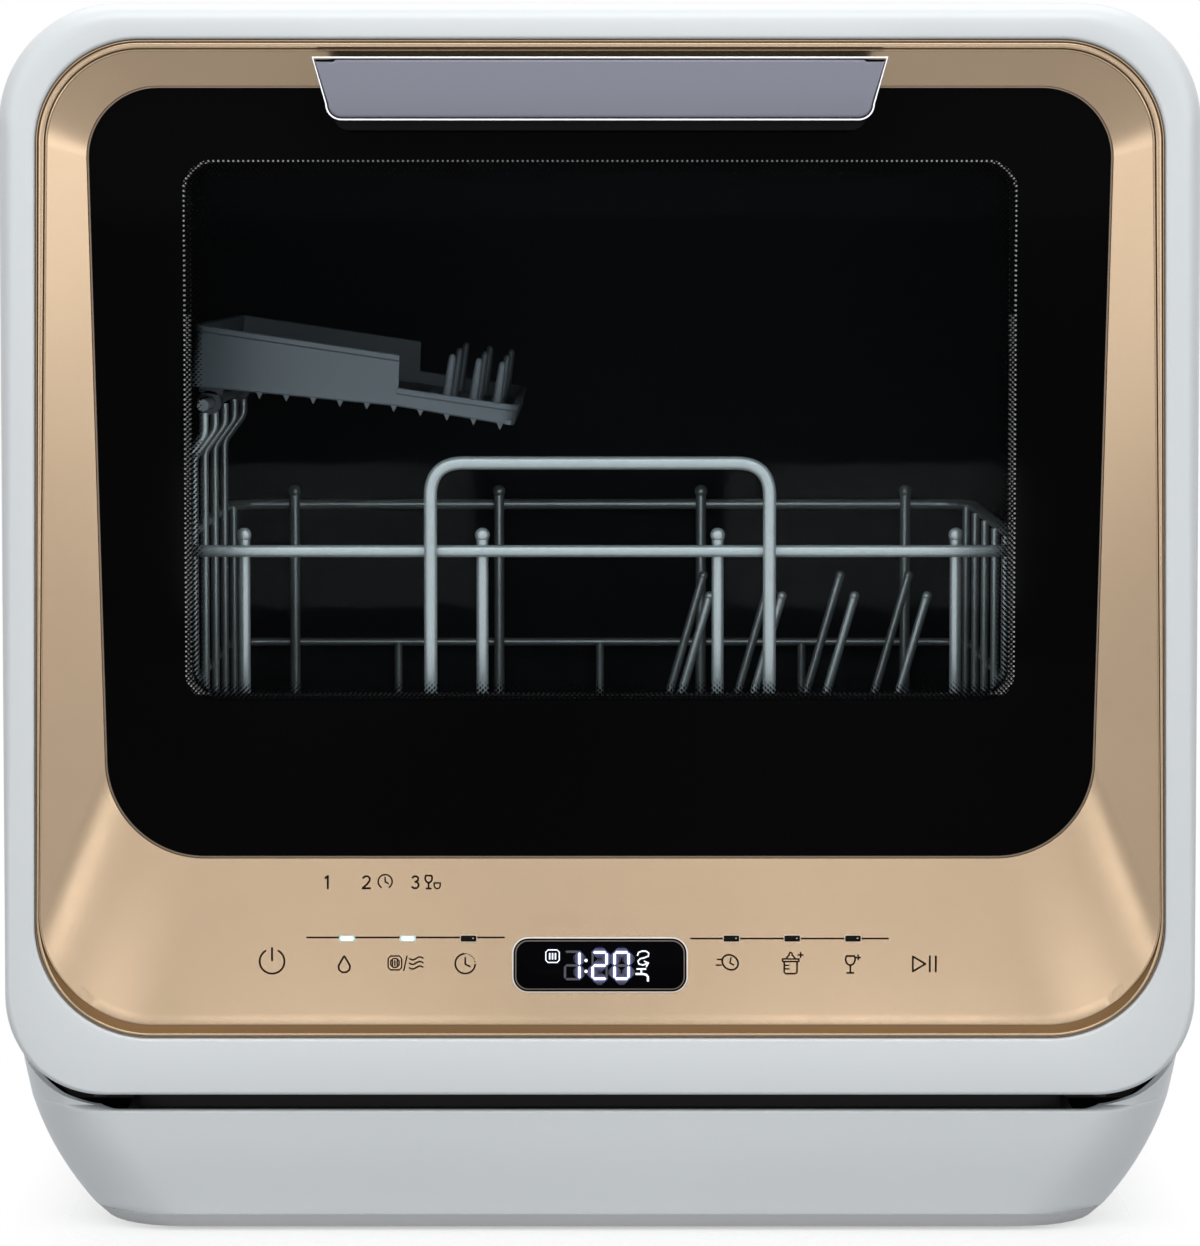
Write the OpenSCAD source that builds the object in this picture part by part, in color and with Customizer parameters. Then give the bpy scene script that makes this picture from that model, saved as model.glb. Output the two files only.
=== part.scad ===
// Countertop dishwasher: a one-person machine with its own water tank.
// Millimetres. The origin is on the counter, under the middle of the machine.
// +Z is up, the door faces -Y and +X is to the right of someone facing the door.

/* [Cabinet] */
// Overall width of the cabinet
body_w = 420; // [412:1:430]
// Height of the flat top, from the drawing's zero level as all heights below
body_h = 431; // [427:1:440]
// How far the counter, and so the bottom of the feet, lies below that level
counter_drop = 4.5; // [3.5:0.1:6]
// Depth from the front of the door frame to the back of the rear frame
body_d = 410; // [408:1:420]
// Radius of the top corners, seen from the front
corner_r = 42; // [34:1:50]
// Radius of the hull-shaped lower sides, seen from the front
bilge_r = 111; // [105:1:125]
// Height where the lower sides start to curve inwards
bilge_z = 75; // [72:1:78]
// Height of the seam between the casing and the base
seam_z = 62; // [60:1:64]
// Thickness of the moulded shells
wall = 2.5; // [2:0.1:3]

/* [Door] */
// Thickness of the whole door
door_t = 38; // [36:1:40]
// Lower edge of the door, at the middle of the dark gap
door_low_z = 47.4; // [47:0.1:49]
// Radius of the door's lower corners
door_low_r = 35; // [30:1:40]
// Height of the hinge axis
hinge_z = 51.5; // [51:0.5:52]
// Distance from the front of the door frame back to the hinge axis
hinge_back = 8.5; // [8:0.5:9]
// Front opening of the gold fascia: width of its rim at the top
fascia_top_w = 394; // [390:1:396]
// Width of the fascia's rim at the bottom
fascia_low_w = 399; // [394:1:400]
// Height of the fascia's upper edge
fascia_top_z = 417.6; // [415:0.2:418]
// Height of the fascia's lower edge
fascia_low_z = 68.1; // [66:0.1:70]
// Visible width of the glass at its top
glass_top_w = 359.6; // [352:0.2:362]
// Visible width of the glass at its bottom
glass_low_w = 349.6; // [342:0.2:352]
// Height of the glass's upper edge
glass_top_z = 402.2; // [400:0.1:404]
// Height of the glass's lower edge, where the control panel starts
glass_low_z = 130.1; // [126:0.1:134]
// Depth of the glass behind the front of the door frame
glass_back = 11.4; // [10:0.1:12]

/* [Window and handle] */
// Width of the clear window
window_w = 292; // [280:1:296]
// Height of the window's lower edge
window_low_z = 186; // [184:1:190]
// Height of the window's upper edge
window_top_z = 376; // [370:1:378]
// Width of the handle plate along its top edge
handle_top_w = 198.8; // [190:0.2:204]
// Width of the handle plate near its lower corners
handle_low_w = 189.6; // [180:0.2:192]
// Height of the handle plate's top edge
handle_top_z = 411.5; // [410:0.1:412]
// Height of the handle plate's bottom edge
handle_low_z = 389.6; // [388:0.1:391]
// How far the handle stands out in front of the door frame
handle_out = 12.5; // [11:0.1:13]

/* [Tub] */
// Inner width of the washing tub
tub_w = 352; // [350:1:354]
// Height of the tub's floor
tub_floor_z = 88; // [87:0.5:89]
// Height of the tub's ceiling
tub_top_z = 410; // [409:0.5:411]
// Place of the tub's back wall
tub_back_y = 145; // [143:1:146]
// Height of the ledges that the basket slides on
ledge_z = 92; // [91:0.5:93]

/* [Basket] */
// Width over the centre lines of the basket's side rails
basket_w = 316; // [310:1:318]
// Place of the front rail
basket_front_y = -140; // [-142:1:-138]
// Place of the back rail
basket_back_y = 134; // [130:1:135]
// Height of the top rail
rail_z = 235; // [230:1:238]
// Height of the lower rail
low_rail_z = 176; // [172:1:180]
// Height of the wires that plates stand on
basket_floor_z = 122; // [121:0.5:124]
// Diameter of the rail wire
rail_d = 4.4; // [4:0.1:4.8]
// Diameter of the thinner wire
wire_d = 3.4; // [3:0.1:3.8]
// Height of the pull loop
loop_z = 264; // [258:1:268]
// Width of the pull loop
loop_w = 122; // [110:1:130]

/* [Cutlery rack and spray arm] */
// Slope of the cutlery rack at rest, down towards the middle
rack_tilt = 8.5; // [7:0.1:10]
// Length of the cutlery rack from its hinge side to its free end
rack_w = 121; // [118:1:130]
// Front-to-back depth of the cutlery rack
rack_d = 196; // [190:1:200]
// Radius swept by the spray arm
arm_r = 140; // [130:1:142]
// Height of the spray arm's underside
arm_z = 99; // [98.5:0.5:100]

/* [Hidden] */

$fn = 48;
corner_steps = 8;
gap = 0.4;

front_y = -body_d / 2;
rear_y = body_d / 2;
half_w = body_w / 2;
base_z = 2;
counter_z = -counter_drop;
door_back_y = front_y + door_t;
flange_y = door_back_y + 1.5;
casing_end_y = rear_y - 15;
hinge_y = front_y + hinge_back;
glass_y = front_y + glass_back;
tub_flange_y = flange_y + 2;
handle_y = front_y - handle_out;

// Control panel: the sloping lower part of the fascia
rim_w = 4.6;
rim_drop = 2.4;
fascia_t = 1.8;
panel_low_z = fascia_low_z + rim_w;
panel_low_y = front_y + rim_drop;
panel_top_y = glass_y - fascia_t;
panel_tilt = atan((panel_top_y - panel_low_y) / (glass_low_z - panel_low_z));
led_z = 101.5;
led_first_x = 46.4;
led_pitch = 21.45;
led_size = [5.3, 2.1];
display_z = 92.3;
display_size = [63, 20.4];

// Places of the works under the tub
hub_y = -5;
sump_at = [70, -70];
sump_r = 40;
pump_z = 45;
floor_z = base_z + wall;
flap_x = [68, 152];
flap_y = [152.5, 181];
neck_x = [72, 148];
neck_y = [156, 177];
tank_w = 364;
tank_y = [tub_back_y + wall, 198.6];
tank_z = [96, 392];
rear_ports_z = 46;
cup_at = [-62, 152];

// Rack hinge rod, in the plane of the side wires
rod_x = -147;
rod_z = 287;
rod_d = 4.4;
side_wires_y = [for (i = [0:4]) -108 + 45 * i];

/* Helpers -------------------------------------------------------------------- */

function arc(c, r, a0, a1, n = corner_steps) =
    [for (i = [0:n]) [c[0] + r * cos(a0 + (a1 - a0) * i / n), c[1] + r * sin(a0 + (a1 - a0) * i / n)]];

// Rounded four-sided outline in the X-Z plane, counter-clockwise from its low middle
function soft_rect(half_top, half_low, z0, z1, r_top, r_low) = concat(
    arc([half_low - r_low, z0 + r_low], r_low, -90, 0),
    arc([half_top - r_top, z1 - r_top], r_top, 0, 90),
    arc([r_top - half_top, z1 - r_top], r_top, 90, 180),
    arc([r_low - half_low, z0 + r_low], r_low, 180, 270));

// The whole cabinet's outline, with its hull-shaped lower sides, offset inwards
function cabinet_outline(inset) = let (
    r = bilge_r - inset,
    a = asin((bilge_z - base_z - inset) / r),
    cx = half_w - bilge_r,
    rt = corner_r - inset
) concat(
    arc([cx, bilge_z], r, -a, 0),
    arc([half_w - corner_r, body_h - corner_r], rt, 0, 90),
    arc([corner_r - half_w, body_h - corner_r], rt, 90, 180),
    arc([-cx, bilge_z], r, 180, 180 + a));

function door_outline(inset) =
    soft_rect(half_w - inset, half_w - inset, door_low_z + inset, body_h - inset,
        corner_r - inset, door_low_r - inset);

function fascia_outline(grow) =
    soft_rect(fascia_top_w / 2 + grow, fascia_low_w / 2 + grow, fascia_low_z - grow,
        fascia_top_z + grow, 36 + grow, 40 + grow);

function glass_outline(grow) =
    soft_rect(glass_top_w / 2 + grow, glass_low_w / 2 + grow, glass_low_z - grow,
        glass_top_z + grow, 25 + grow, 35 + grow);

function window_outline(grow) =
    soft_rect(window_w / 2 + grow, window_w / 2 + grow, window_low_z - grow,
        window_top_z + grow, 10.6 + grow, 10.6 + grow);

function mouth_outline(grow) =
    soft_rect(tub_w / 2 + grow, tub_w / 2 + grow, tub_floor_z - grow, tub_top_z + grow,
        22 + grow, 22 + grow);

// Half width of the cabinet's side at height z
function side_x(z) =
    z >= bilge_z ? half_w : half_w - bilge_r + sqrt(bilge_r * bilge_r - pow(bilge_z - z, 2));

// A point on the way from one outline to another: u from the first, then t of the rest
function between(p, q, u, t, u_all, y) = let (
    v = q - p,
    s = (u + t * (norm(v) - u_all)) / norm(v)
) [p[0] + v[0] * s, y, p[1] + v[1] * s];

// Drawn in X-Z and pulled out along Y
module along_y(y0, y1) {
    translate([0, y1, 0]) rotate([90, 0, 0]) linear_extrude(y1 - y0) children();
}

// A solid between two grids of points, each a list of rows; closed joins the last row to the first
module skin(front, back, closed = true) {
    n = len(front);
    m = len(front[0]);
    last = closed ? n - 1 : n - 2;
    function at(side, i, k) = side * n * m + (i % n) * m + k;
    quads = concat(
        [for (i = [0:last], k = [0:m - 2]) [at(0, i, k), at(0, i, k + 1), at(0, i + 1, k + 1), at(0, i + 1, k)]],
        [for (i = [0:last], k = [0:m - 2]) [at(1, i, k), at(1, i + 1, k), at(1, i + 1, k + 1), at(1, i, k + 1)]],
        [for (i = [0:last]) [at(0, i, 0), at(0, i + 1, 0), at(1, i + 1, 0), at(1, i, 0)]],
        [for (i = [0:last]) [at(0, i, m - 1), at(1, i, m - 1), at(1, i + 1, m - 1), at(0, i + 1, m - 1)]],
        closed ? [] : [for (k = [0:m - 2]) [at(0, 0, k), at(1, 0, k), at(1, 0, k + 1), at(0, 0, k + 1)]],
        closed ? [] : [for (k = [0:m - 2])
            [at(0, n - 1, k), at(0, n - 1, k + 1), at(1, n - 1, k + 1), at(1, n - 1, k)]]);
    polyhedron(
        concat([for (row = front) each row], [for (row = back) each row]),
        [for (q = quads) each [[q[0], q[1], q[2]], [q[0], q[2], q[3]]]]);
}

// Straight wire with round ends
module rod(a, b, d) {
    hull() {
        translate(a) sphere(d = d, $fn = 8);
        translate(b) sphere(d = d, $fn = 8);
    }
}

// Bent wire: an eight-sided tube along a flat path whose plane has the given normal
module wire(path, d, normal, closed = false) {
    n = len(path);
    sides = 8;
    function way(i) = closed ? path[(i + 1) % n] - path[(i + n - 1) % n]
        : path[min(i + 1, n - 1)] - path[max(i - 1, 0)];
    function ring(i) = let (
        t = way(i) / norm(way(i)),
        u = cross(normal, t)
    ) [for (k = [0:sides - 1]) path[i] + d / 2 * (u * cos(360 * k / sides) + normal * sin(360 * k / sides))];
    rings = closed ? n - 1 : n - 2;
    polyhedron(
        [for (i = [0:n - 1]) each ring(i)],
        concat(
            [for (i = [0:rings], k = [0:sides - 1]) let (a = i * sides + k, b = i * sides + (k + 1) % sides,
                c = ((i + 1) % n) * sides + (k + 1) % sides, e = ((i + 1) % n) * sides + k)
                each [[a, c, b], [a, e, c]]],
            closed ? [] : [[for (k = [0:sides - 1]) k], [for (k = [0:sides - 1]) n * sides - 1 - k]]));
}

// Places children on the sloping control panel, at height z, with local -Y out of the panel
module on_panel(x, z) {
    y = panel_low_y + (z - panel_low_z) * tan(panel_tilt);
    translate([x, y, z]) rotate([-panel_tilt, 0, 0]) children();
}

module mirror_x() {
    children();
    mirror([1, 0, 0]) children();
}

module bar_x(x0, x1, y, z, r) {
    translate([x0, y, z]) rotate([0, 90, 0]) cylinder(r = r, h = x1 - x0);
}

module bar_y(x, y0, y1, z, r) {
    translate([x, y0, z]) rotate([-90, 0, 0]) cylinder(r = r, h = y1 - y0);
}

module block(x, y, z) {
    translate([x[0], y[0], z[0]]) cube([x[1] - x[0], y[1] - y[0], z[1] - z[0]]);
}

/* Cabinet -------------------------------------------------------------------- */

module casing_section(inset, low = seam_z) {
    polygon(concat(
        [[half_w - inset, low]],
        arc([half_w - corner_r, body_h - corner_r], corner_r - inset, 0, 90),
        arc([corner_r - half_w, body_h - corner_r], corner_r - inset, 90, 180),
        [[inset - half_w, low]]));
}

module casing() {
    color("whitesmoke") difference() {
        along_y(flange_y, casing_end_y) difference() {
            casing_section(0);
            casing_section(wall, seam_z - 1);
        }
        flap_plan(gap, body_h - 10, body_h + 1);
        block([flap_x[0] - gap, flap_x[1] + gap], [flap_y[1] - 8, flap_y[1] + 3.4], [body_h - 10, body_h + 1]);
        block([knuckle_x[0] - 3.4, knuckle_x[1] + 3.4], [flap_y[1] - 1, flap_axis[0] + 3.2],
            [body_h - 10, body_h + 1]);
    }
}

module rear_frame() {
    out = [[0, casing_end_y], [0, rear_y - 10], [1.5, rear_y - 5], [5, rear_y - 1.3], [10, rear_y],
        [15, rear_y]];
    into = [[wall, casing_end_y], [wall, rear_y - 10], [3.7, rear_y - 6], [6.3, rear_y - 3.4],
        [10.5, rear_y - 2.5], [15, rear_y - 2.5]];
    rows_out = [for (s = out) cabinet_outline(s[0])];
    rows_in = [for (s = into) cabinet_outline(s[0])];
    n = len(rows_out[0]);
    color("whitesmoke") skin(
        [for (i = [0:n - 1]) [for (k = [0:len(out) - 1]) let (k2 = len(out) - 1 - k)
            [rows_out[k2][i][0], out[k2][1], rows_out[k2][i][1]]]],
        [for (i = [0:n - 1]) [for (k = [0:len(out) - 1]) let (k2 = len(out) - 1 - k)
            [rows_in[k2][i][0], into[k2][1], rows_in[k2][i][1]]]]);
}

module vent_group(x, z, count) {
    for (i = [0:count - 1]) translate([x - 45, z + 9 * i]) square([90, 4]);
}

module rear_panel() {
    color("gainsboro") along_y(rear_y - 5, rear_y - 2.5) difference() {
        polygon(cabinet_outline(11));
        vent_group(-105, 300, 8);
        vent_group(105, 24, 4);
        translate([-150, rear_ports_z]) circle(r = 13.4);
        translate([-105, rear_ports_z]) circle(r = 9.2);
        translate([-50, rear_ports_z]) circle(r = 8.2);
    }
}

function tray_section(inset, over = 0) = let (
    r = bilge_r - inset,
    a0 = asin((bilge_z - base_z - inset) / r),
    a1 = asin((bilge_z - seam_z + gap - over) / r),
    cx = half_w - bilge_r
) concat(arc([cx, bilge_z], r, -a0, -a1), arc([-cx, bilge_z], r, 180 + a1, 180 + a0));

module base_tray() {
    color("whitesmoke") {
        along_y(flange_y, casing_end_y) difference() {
            polygon(tray_section(0));
            intersection() {
                polygon(tray_section(wall, 1));
                translate([-half_w, base_z + wall]) square([body_w, seam_z]);
            }
        }
        for (x = [-120, -40, 40, 120]) block([x - 1, x + 1], [flange_y + wall, -140], [floor_z, 50]);
    }
}

// Dark cross wall at the front of the base, which carries the hinges
module front_beam() {
    color("black") along_y(flange_y, flange_y + wall) polygon(tray_section(wall + 0.1));
}

// Top edge of the kick panel: level in the middle, swept up into a point at each end
kick_flat = 168;
kick_top_z = 41;
function kick_top(x) = let (over = (abs(x) - kick_flat) / 37)
    over <= 0 ? kick_top_z : over >= 0.99 ? seam_z - gap
    : min(seam_z - gap, kick_top_z + 21.4 * (1 - sqrt(1 - over * over)));

function kick_front(z) = front_y + 4.5 + 0.005 * pow(max(0, 48 - z), 2);

kick_steps = 5;
kick_r = 34;
lip_y = -192;

// One upright row of the kick panel at the plan angle a, 0 at the side and 90 at the front.
// The raised corners step back to lip_y, which leaves the opening door its room.
function kick_row(x0, a, inset) = let (
    top = kick_top(x0 + kick_r * cos(a)),
    place = function (z, back) let (
        dx = side_x(z) - side_x(50),
        y = flange_y - (flange_y - kick_front(z) - inset) * sin(a)
    ) [dx + x0 + (kick_r - inset) * cos(a), back > 0 ? max(y + back * sin(a), top > kick_top_z + 0.6 ? lip_y + inset : y) : y, z]
) concat(
    [for (k = [0:kick_steps]) place(base_z + (kick_top_z - base_z) * k / kick_steps, 0)],
    [place(kick_top_z + 0.7, 0.5), place(max(top, kick_top_z + 0.9), 0.8)]);

module kick_panel() {
    corner_x = side_x(50) - kick_r;
    half = function (inset) concat(
        [for (i = [0:9]) kick_row(corner_x, 10 * i, inset)],
        [for (x = [kick_flat - 4, 60]) kick_row(x, 90, inset)]);
    both = function (inset) let (h = half(inset), n = len(h)) concat(
        [for (row = h) [for (p = row) [-p[0], p[1], p[2]]]], [for (i = [0:n - 1]) h[n - 1 - i]]);
    color("whitesmoke") skin(both(0), both(wall), closed = false);
}

module foot_frame() {
    half = side_x(base_z) + 0.7;
    plan = function (inset, z) [for (p = soft_rect(half - inset, half - inset, kick_front(base_z) - 1.5 + inset,
        casing_end_y - inset, 12, 30)) [p[0], p[1], z]];
    low_z = counter_z + 1.2;
    top_out = plan(0, base_z);
    low_out = plan(4.5, low_z);
    top_in = plan(12, base_z);
    low_in = plan(12, low_z);
    color("whitesmoke") skin(
        [for (i = [0:len(top_out) - 1]) [top_out[i], low_out[i]]],
        [for (i = [0:len(top_out) - 1]) [top_in[i], low_in[i]]]);
}

module feet() {
    color("dimgray") mirror_x() for (y = [-150, 150]) translate([152, y, counter_z]) {
        cylinder(r1 = 13, r2 = 14, h = 2);
        translate([0, 0, 2]) cylinder(r = 14, h = base_z - counter_z - 2);
    }
}

module drip_channel() {
    color("black") {
        difference() {
            block([-168, 168], [front_y + 9, flange_y], [34, 40]);
            block([-166, 166], [front_y + 11, flange_y - 2], [36, 41]);
        }
    }
}

/* Tub ------------------------------------------------------------------------ */

module tub() {
    color("dimgray") {
        difference() {
            union() {
                along_y(flange_y, tub_flange_y) difference() {
                    casing_section(wall + gap, seam_z + gap);
                    polygon(mouth_outline(0));
                    translate([-15, tub_top_z + 3]) square([30, 13.5]);
                }
                along_y(tub_flange_y, tub_back_y) difference() {
                    polygon(mouth_outline(wall));
                    polygon(mouth_outline(0));
                }
                along_y(tub_back_y, tub_back_y + wall) polygon(mouth_outline(wall));
                mirror_x() block([148, tub_w / 2 + 1], [tub_flange_y, tub_back_y + 1], [tub_floor_z - 1, ledge_z]);
            }
            translate([sump_at[0], sump_at[1], tub_floor_z - 10]) cylinder(r = sump_r - 2, h = 20);
            translate([0, hub_y, tub_floor_z - 10]) cylinder(r = 12, h = 20);
        }
    }
}

module tub_gasket() {
    color("black") along_y(door_back_y + gap, flange_y) difference() {
        polygon(mouth_outline(11));
        polygon(mouth_outline(3));
    }
}

module sump() {
    color("dimgray") translate([sump_at[0], sump_at[1], 0]) difference() {
        union() {
            translate([0, 0, tub_floor_z - wall - 4]) cylinder(r = sump_r + 5, h = 4);
            translate([0, 0, 28]) cylinder(r = sump_r, h = tub_floor_z - wall - 30);
        }
        translate([0, 0, 31]) cylinder(r = sump_r - wall, h = 70);
        rotate([0, -90, 0]) translate([pump_z, 0, sump_r - 6]) cylinder(r = 9, h = 12);
        rotate([0, 90, 0]) translate([-pump_z, 0, sump_r - 6]) cylinder(r = 8, h = 12);
    }
}

module filter_plate() {
    color("silver") translate([sump_at[0], sump_at[1], tub_floor_z]) difference() {
        union() {
            cylinder(r = sump_r + 6, h = 1.2);
            translate([0, 0, -2.4]) cylinder(r = sump_r - 2.3, h = 3);
        }
        translate([0, 0, -4]) cylinder(r = sump_r - 4, h = 4);
        translate([0, 0, -5]) cylinder(r = 19, h = 10);
        for (ring = [0:2], i = [0:19 + 5 * ring])
            rotate([0, 0, 360 * i / (20 + 5 * ring)]) translate([22.5 + 5 * ring, 0, -1])
                cylinder(r = 1.2, h = 4, $fn = 16);
    }
}

module fine_filter() {
    color("gray") translate([sump_at[0], sump_at[1], 0]) {
        difference() {
            translate([0, 0, 40]) cylinder(r = 18.4, h = tub_floor_z + 3 - 40);
            translate([0, 0, 42]) cylinder(r = 16.4, h = 60);
            for (row = [0:3], i = [0:11]) rotate([0, 0, 30 * i + 15 * (row % 2)])
                translate([17, 0, 49 + 9 * row]) rotate([0, 90, 0]) cylinder(r = 3, h = 6, center = true, $fn = 6);
        }
        difference() {
            translate([0, 0, tub_floor_z + 1.2]) cylinder(r = 20.6, h = 1.8);
            cylinder(r = 16.4, h = 200);
        }
        translate([-16.6, -1.5, tub_floor_z - 3]) cube([33.2, 3, 8]);
    }
}

module spray_riser() {
    color("dimgray") translate([0, hub_y, 0]) difference() {
        union() {
            translate([0, 0, 66]) cylinder(r = 11.6, h = tub_floor_z + 6 - 66);
            translate([0, 0, tub_floor_z]) cylinder(r = 18, h = 3);
            translate([0, 0, tub_floor_z + 5]) cylinder(r = 8, h = 17);
        }
        translate([0, 0, 65]) cylinder(r = 5.5, h = 60);
    }
}

module spray_arm() {
    color("lightsteelblue") translate([0, hub_y, arm_z]) difference() {
        union() {
            linear_extrude(9) union() {
                hull() {
                    circle(r = 19);
                    translate([arm_r - 11, 8]) circle(r = 10);
                }
                hull() {
                    circle(r = 19);
                    translate([11 - arm_r, -8]) circle(r = 10);
                }
            }
            translate([0, 0, -4.6]) cylinder(r = 12, h = 4.6);
        }
        translate([0, 0, -5]) cylinder(r = 8.05, h = 20);
        for (side = [0, 180], i = [0:3]) rotate([0, 0, side]) translate([38 + 26 * i, 2 + 1.5 * i, 7])
            rotate([0, 0, 20]) translate([-5, -1, 0]) cube([10, 2, 4]);
    }
}

module spray_cap() {
    color("gray") translate([0, hub_y, arm_z + 9 + gap]) difference() {
        cylinder(r1 = 13, r2 = 10, h = 5);
        translate([0, 0, -1]) cylinder(r = 8.02, h = 2.6);
        for (i = [0:5]) rotate([0, 0, 60 * i]) translate([13.5, 0, -1]) cylinder(r = 2.2, h = 8);
    }
}

/* Works under and behind the tub --------------------------------------------- */

module wash_pump() {
    color("slategray") {
        bar_x(-13, 13, sump_at[1], pump_z, 33);
        bar_x(-96, -13, sump_at[1], pump_z, 27);
        bar_x(-104, -96, sump_at[1], pump_z, 12);
        bar_x(13, sump_at[0] - sump_r + 2, sump_at[1], pump_z, 8.8);
        block([-70, -30], [sump_at[1] - 20, sump_at[1] + 20], [floor_z, pump_z - 20]);
    }
}

module drain_pump() {
    color("seagreen") {
        bar_x(sump_at[0] + sump_r - 2, 122, sump_at[1], pump_z, 7.8);
        bar_x(122, 140, sump_at[1], pump_z, 22);
        bar_x(140, 172, sump_at[1], pump_z, 17);
        block([124, 138], [sump_at[1] - 16, sump_at[1] + 16], [floor_z, pump_z - 10]);
    }
}

module heater() {
    color("silver") {
        bar_y(0, sump_at[1] + 33, 60, 44, 17);
        translate([0, hub_y, 44]) cylinder(r = 11.6, h = 22);
        block([-10, 10], [40, 52], [floor_z, 34]);
    }
}

module drain_pipe() {
    color("gray") {
        bar_y(131, sump_at[1] + 22.1, 150, rear_ports_z, 6);
        translate([131, 150, rear_ports_z]) sphere(r = 6.8);
        bar_x(-105, 131, 150, rear_ports_z, 6);
        translate([-105, 150, rear_ports_z]) sphere(r = 6.8);
        bar_y(-105, 150, rear_y - 9, rear_ports_z, 6);
    }
}

module fill_pipe() {
    z = 64;
    y = tank_y[0] + 18;
    color("gray") {
        bar_y(sump_at[0], sump_at[1] + sump_r, y, z, 6);
        translate([sump_at[0], y, z]) sphere(r = 6.8);
        translate([sump_at[0], y, z]) cylinder(r = 6, h = tank_z[0] - z);
    }
}

module water_tank() {
    color("lightblue") difference() {
        block([-tank_w / 2, tank_w / 2], tank_y, tank_z);
        block([-tank_w / 2 + wall, tank_w / 2 - wall], [tank_y[0] + wall, tank_y[1] - wall],
            [tank_z[0] + wall, tank_z[1] - wall]);
        neck_plan(0, tank_z[1] - 10, tank_z[1] + 10);
    }
}

// Upright prism over a rectangle with round corners, grown on all sides
module round_prism(x, y, r, grow, z0, z1) {
    half = (x[1] - x[0]) / 2 + grow;
    translate([(x[0] + x[1]) / 2, 0, z0]) linear_extrude(z1 - z0)
        polygon(soft_rect(half, half, y[0] - grow, y[1] + grow, r + grow, r + grow));
}

module flap_plan(grow, z0, z1) {
    round_prism(flap_x, flap_y, 7, grow, z0, z1);
}

module neck_plan(grow, z0, z1) {
    round_prism(neck_x, neck_y, 5, grow, z0, z1);
}

flap_t = 2.8;
flap_axis = [flap_y[1] + 2.6, body_h - 2.4];
knuckle_x = [92, 128];
flap_pin_r = 1.2;

module filler_neck() {
    shelf_z = body_h - flap_t - gap;
    color("gainsboro") {
        difference() {
            union() {
                neck_plan(2, tank_z[1], shelf_z);
                flap_plan(2.4, shelf_z - 2.5, shelf_z);
            }
            neck_plan(0, tank_z[1] - 1, body_h);
            // Room for the knuckle of the flap
            block([knuckle_x[0] - 1, knuckle_x[1] + 1], [flap_y[1] - 1, flap_y[1] + 8],
                [flap_axis[1] - 3, body_h]);
        }
        // Ears that hold the flap's hinge pin
        for (x = [knuckle_x[0] - 3, knuckle_x[1] + 1])
            block([x, x + 2], [flap_y[1] + 0.8, flap_axis[0] + 1.6], [shelf_z - 2.5, body_h - wall]);
        bar_x(knuckle_x[0] - 3, knuckle_x[1] + 3, flap_axis[0], flap_axis[1] - 0.2, flap_pin_r);
    }
}

module filler_cap() {
    axis_z = flap_axis[1] - 0.2;
    color("gainsboro") difference() {
        union() {
            // The rear edge is bevelled, so that it turns up clear of the casing
            intersection() {
                flap_plan(0, body_h - flap_t, body_h);
                translate([flap_x[0] - 5, 0, 0]) rotate([90, 0, 90]) linear_extrude(flap_x[1] - flap_x[0] + 10)
                    polygon([[flap_y[0] - 5, body_h - flap_t - 1], [flap_y[1], body_h - flap_t - 1],
                        [flap_y[1], body_h - flap_t + 0.1], [flap_y[1] - 2.7, body_h], [flap_y[1] - 2.7, body_h + 1],
                        [flap_y[0] - 5, body_h + 1]]);
            }
            block(knuckle_x, [flap_y[1] - 5, flap_axis[0]], [body_h - flap_t + 0.3, body_h - 0.1]);
            bar_x(knuckle_x[0], knuckle_x[1], flap_axis[0], axis_z, 2.3);
        }
        bar_x(knuckle_x[0] - 1, knuckle_x[1] + 1, flap_axis[0], axis_z, flap_pin_r + 0.05);
        // Finger notch in the front edge
        block([neck_x[0] + 23, neck_x[1] - 23], [flap_y[0] - 1, flap_y[0] + 2], [body_h - 1.2, body_h + 1]);
    }
}

module power_board() {
    color("green") {
        block([-176, -130], [0, 120], [20, 21.6]);
        block([-170, -150], [15, 45], [21.6, 45]);
        block([-148, -136], [60, 100], [21.6, 36]);
        for (x = [-172, -134], y = [6, 114]) translate([x, y, floor_z]) cylinder(r = 2.5, h = 20 - floor_z);
    }
}

// The hose spigots start behind a small groove next to their collars
spigot_y = [rear_y + 1.3, rear_y + 12.5];

module inlet_valve() {
    color("gray") difference() {
        union() {
            bar_y(-150, rear_y - 16, spigot_y[0], rear_ports_z, 12.4);
            bar_y(-150, spigot_y[0], spigot_y[1], rear_ports_z, 13.2);
            bar_y(-150, rear_y - 2.5, rear_y + 0.5, rear_ports_z, 17);
            block([-164, -136], [rear_y - 50, rear_y - 15], [floor_z, 62]);
        }
        bar_y(-150, rear_y - 8, rear_y + 13, rear_ports_z, 8);
    }
}

module drain_outlet() {
    color("gray") difference() {
        union() {
            bar_y(-105, rear_y - 9, spigot_y[0], rear_ports_z, 8.2);
            bar_y(-105, spigot_y[0], spigot_y[1], rear_ports_z, 9);
            bar_y(-105, rear_y - 2.5, rear_y + 0.5, rear_ports_z, 13);
        }
        bar_y(-105, rear_y - 10, rear_y + 13, rear_ports_z, 6.2);
    }
}

module mains_gland() {
    color("black") difference() {
        union() {
            bar_y(-50, rear_y - 9, rear_y + 8, rear_ports_z, 8);
            bar_y(-50, rear_y - 2.5, rear_y + 0.5, rear_ports_z, 12);
        }
        bar_y(-50, rear_y - 10, rear_y + 9, rear_ports_z, 4);
    }
}

/* Hinges and latch ------------------------------------------------------------ */

tongue_x = [175, 179];
pin_r = 3;
bush_r = 4.2;
eye_r = 6;

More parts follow.
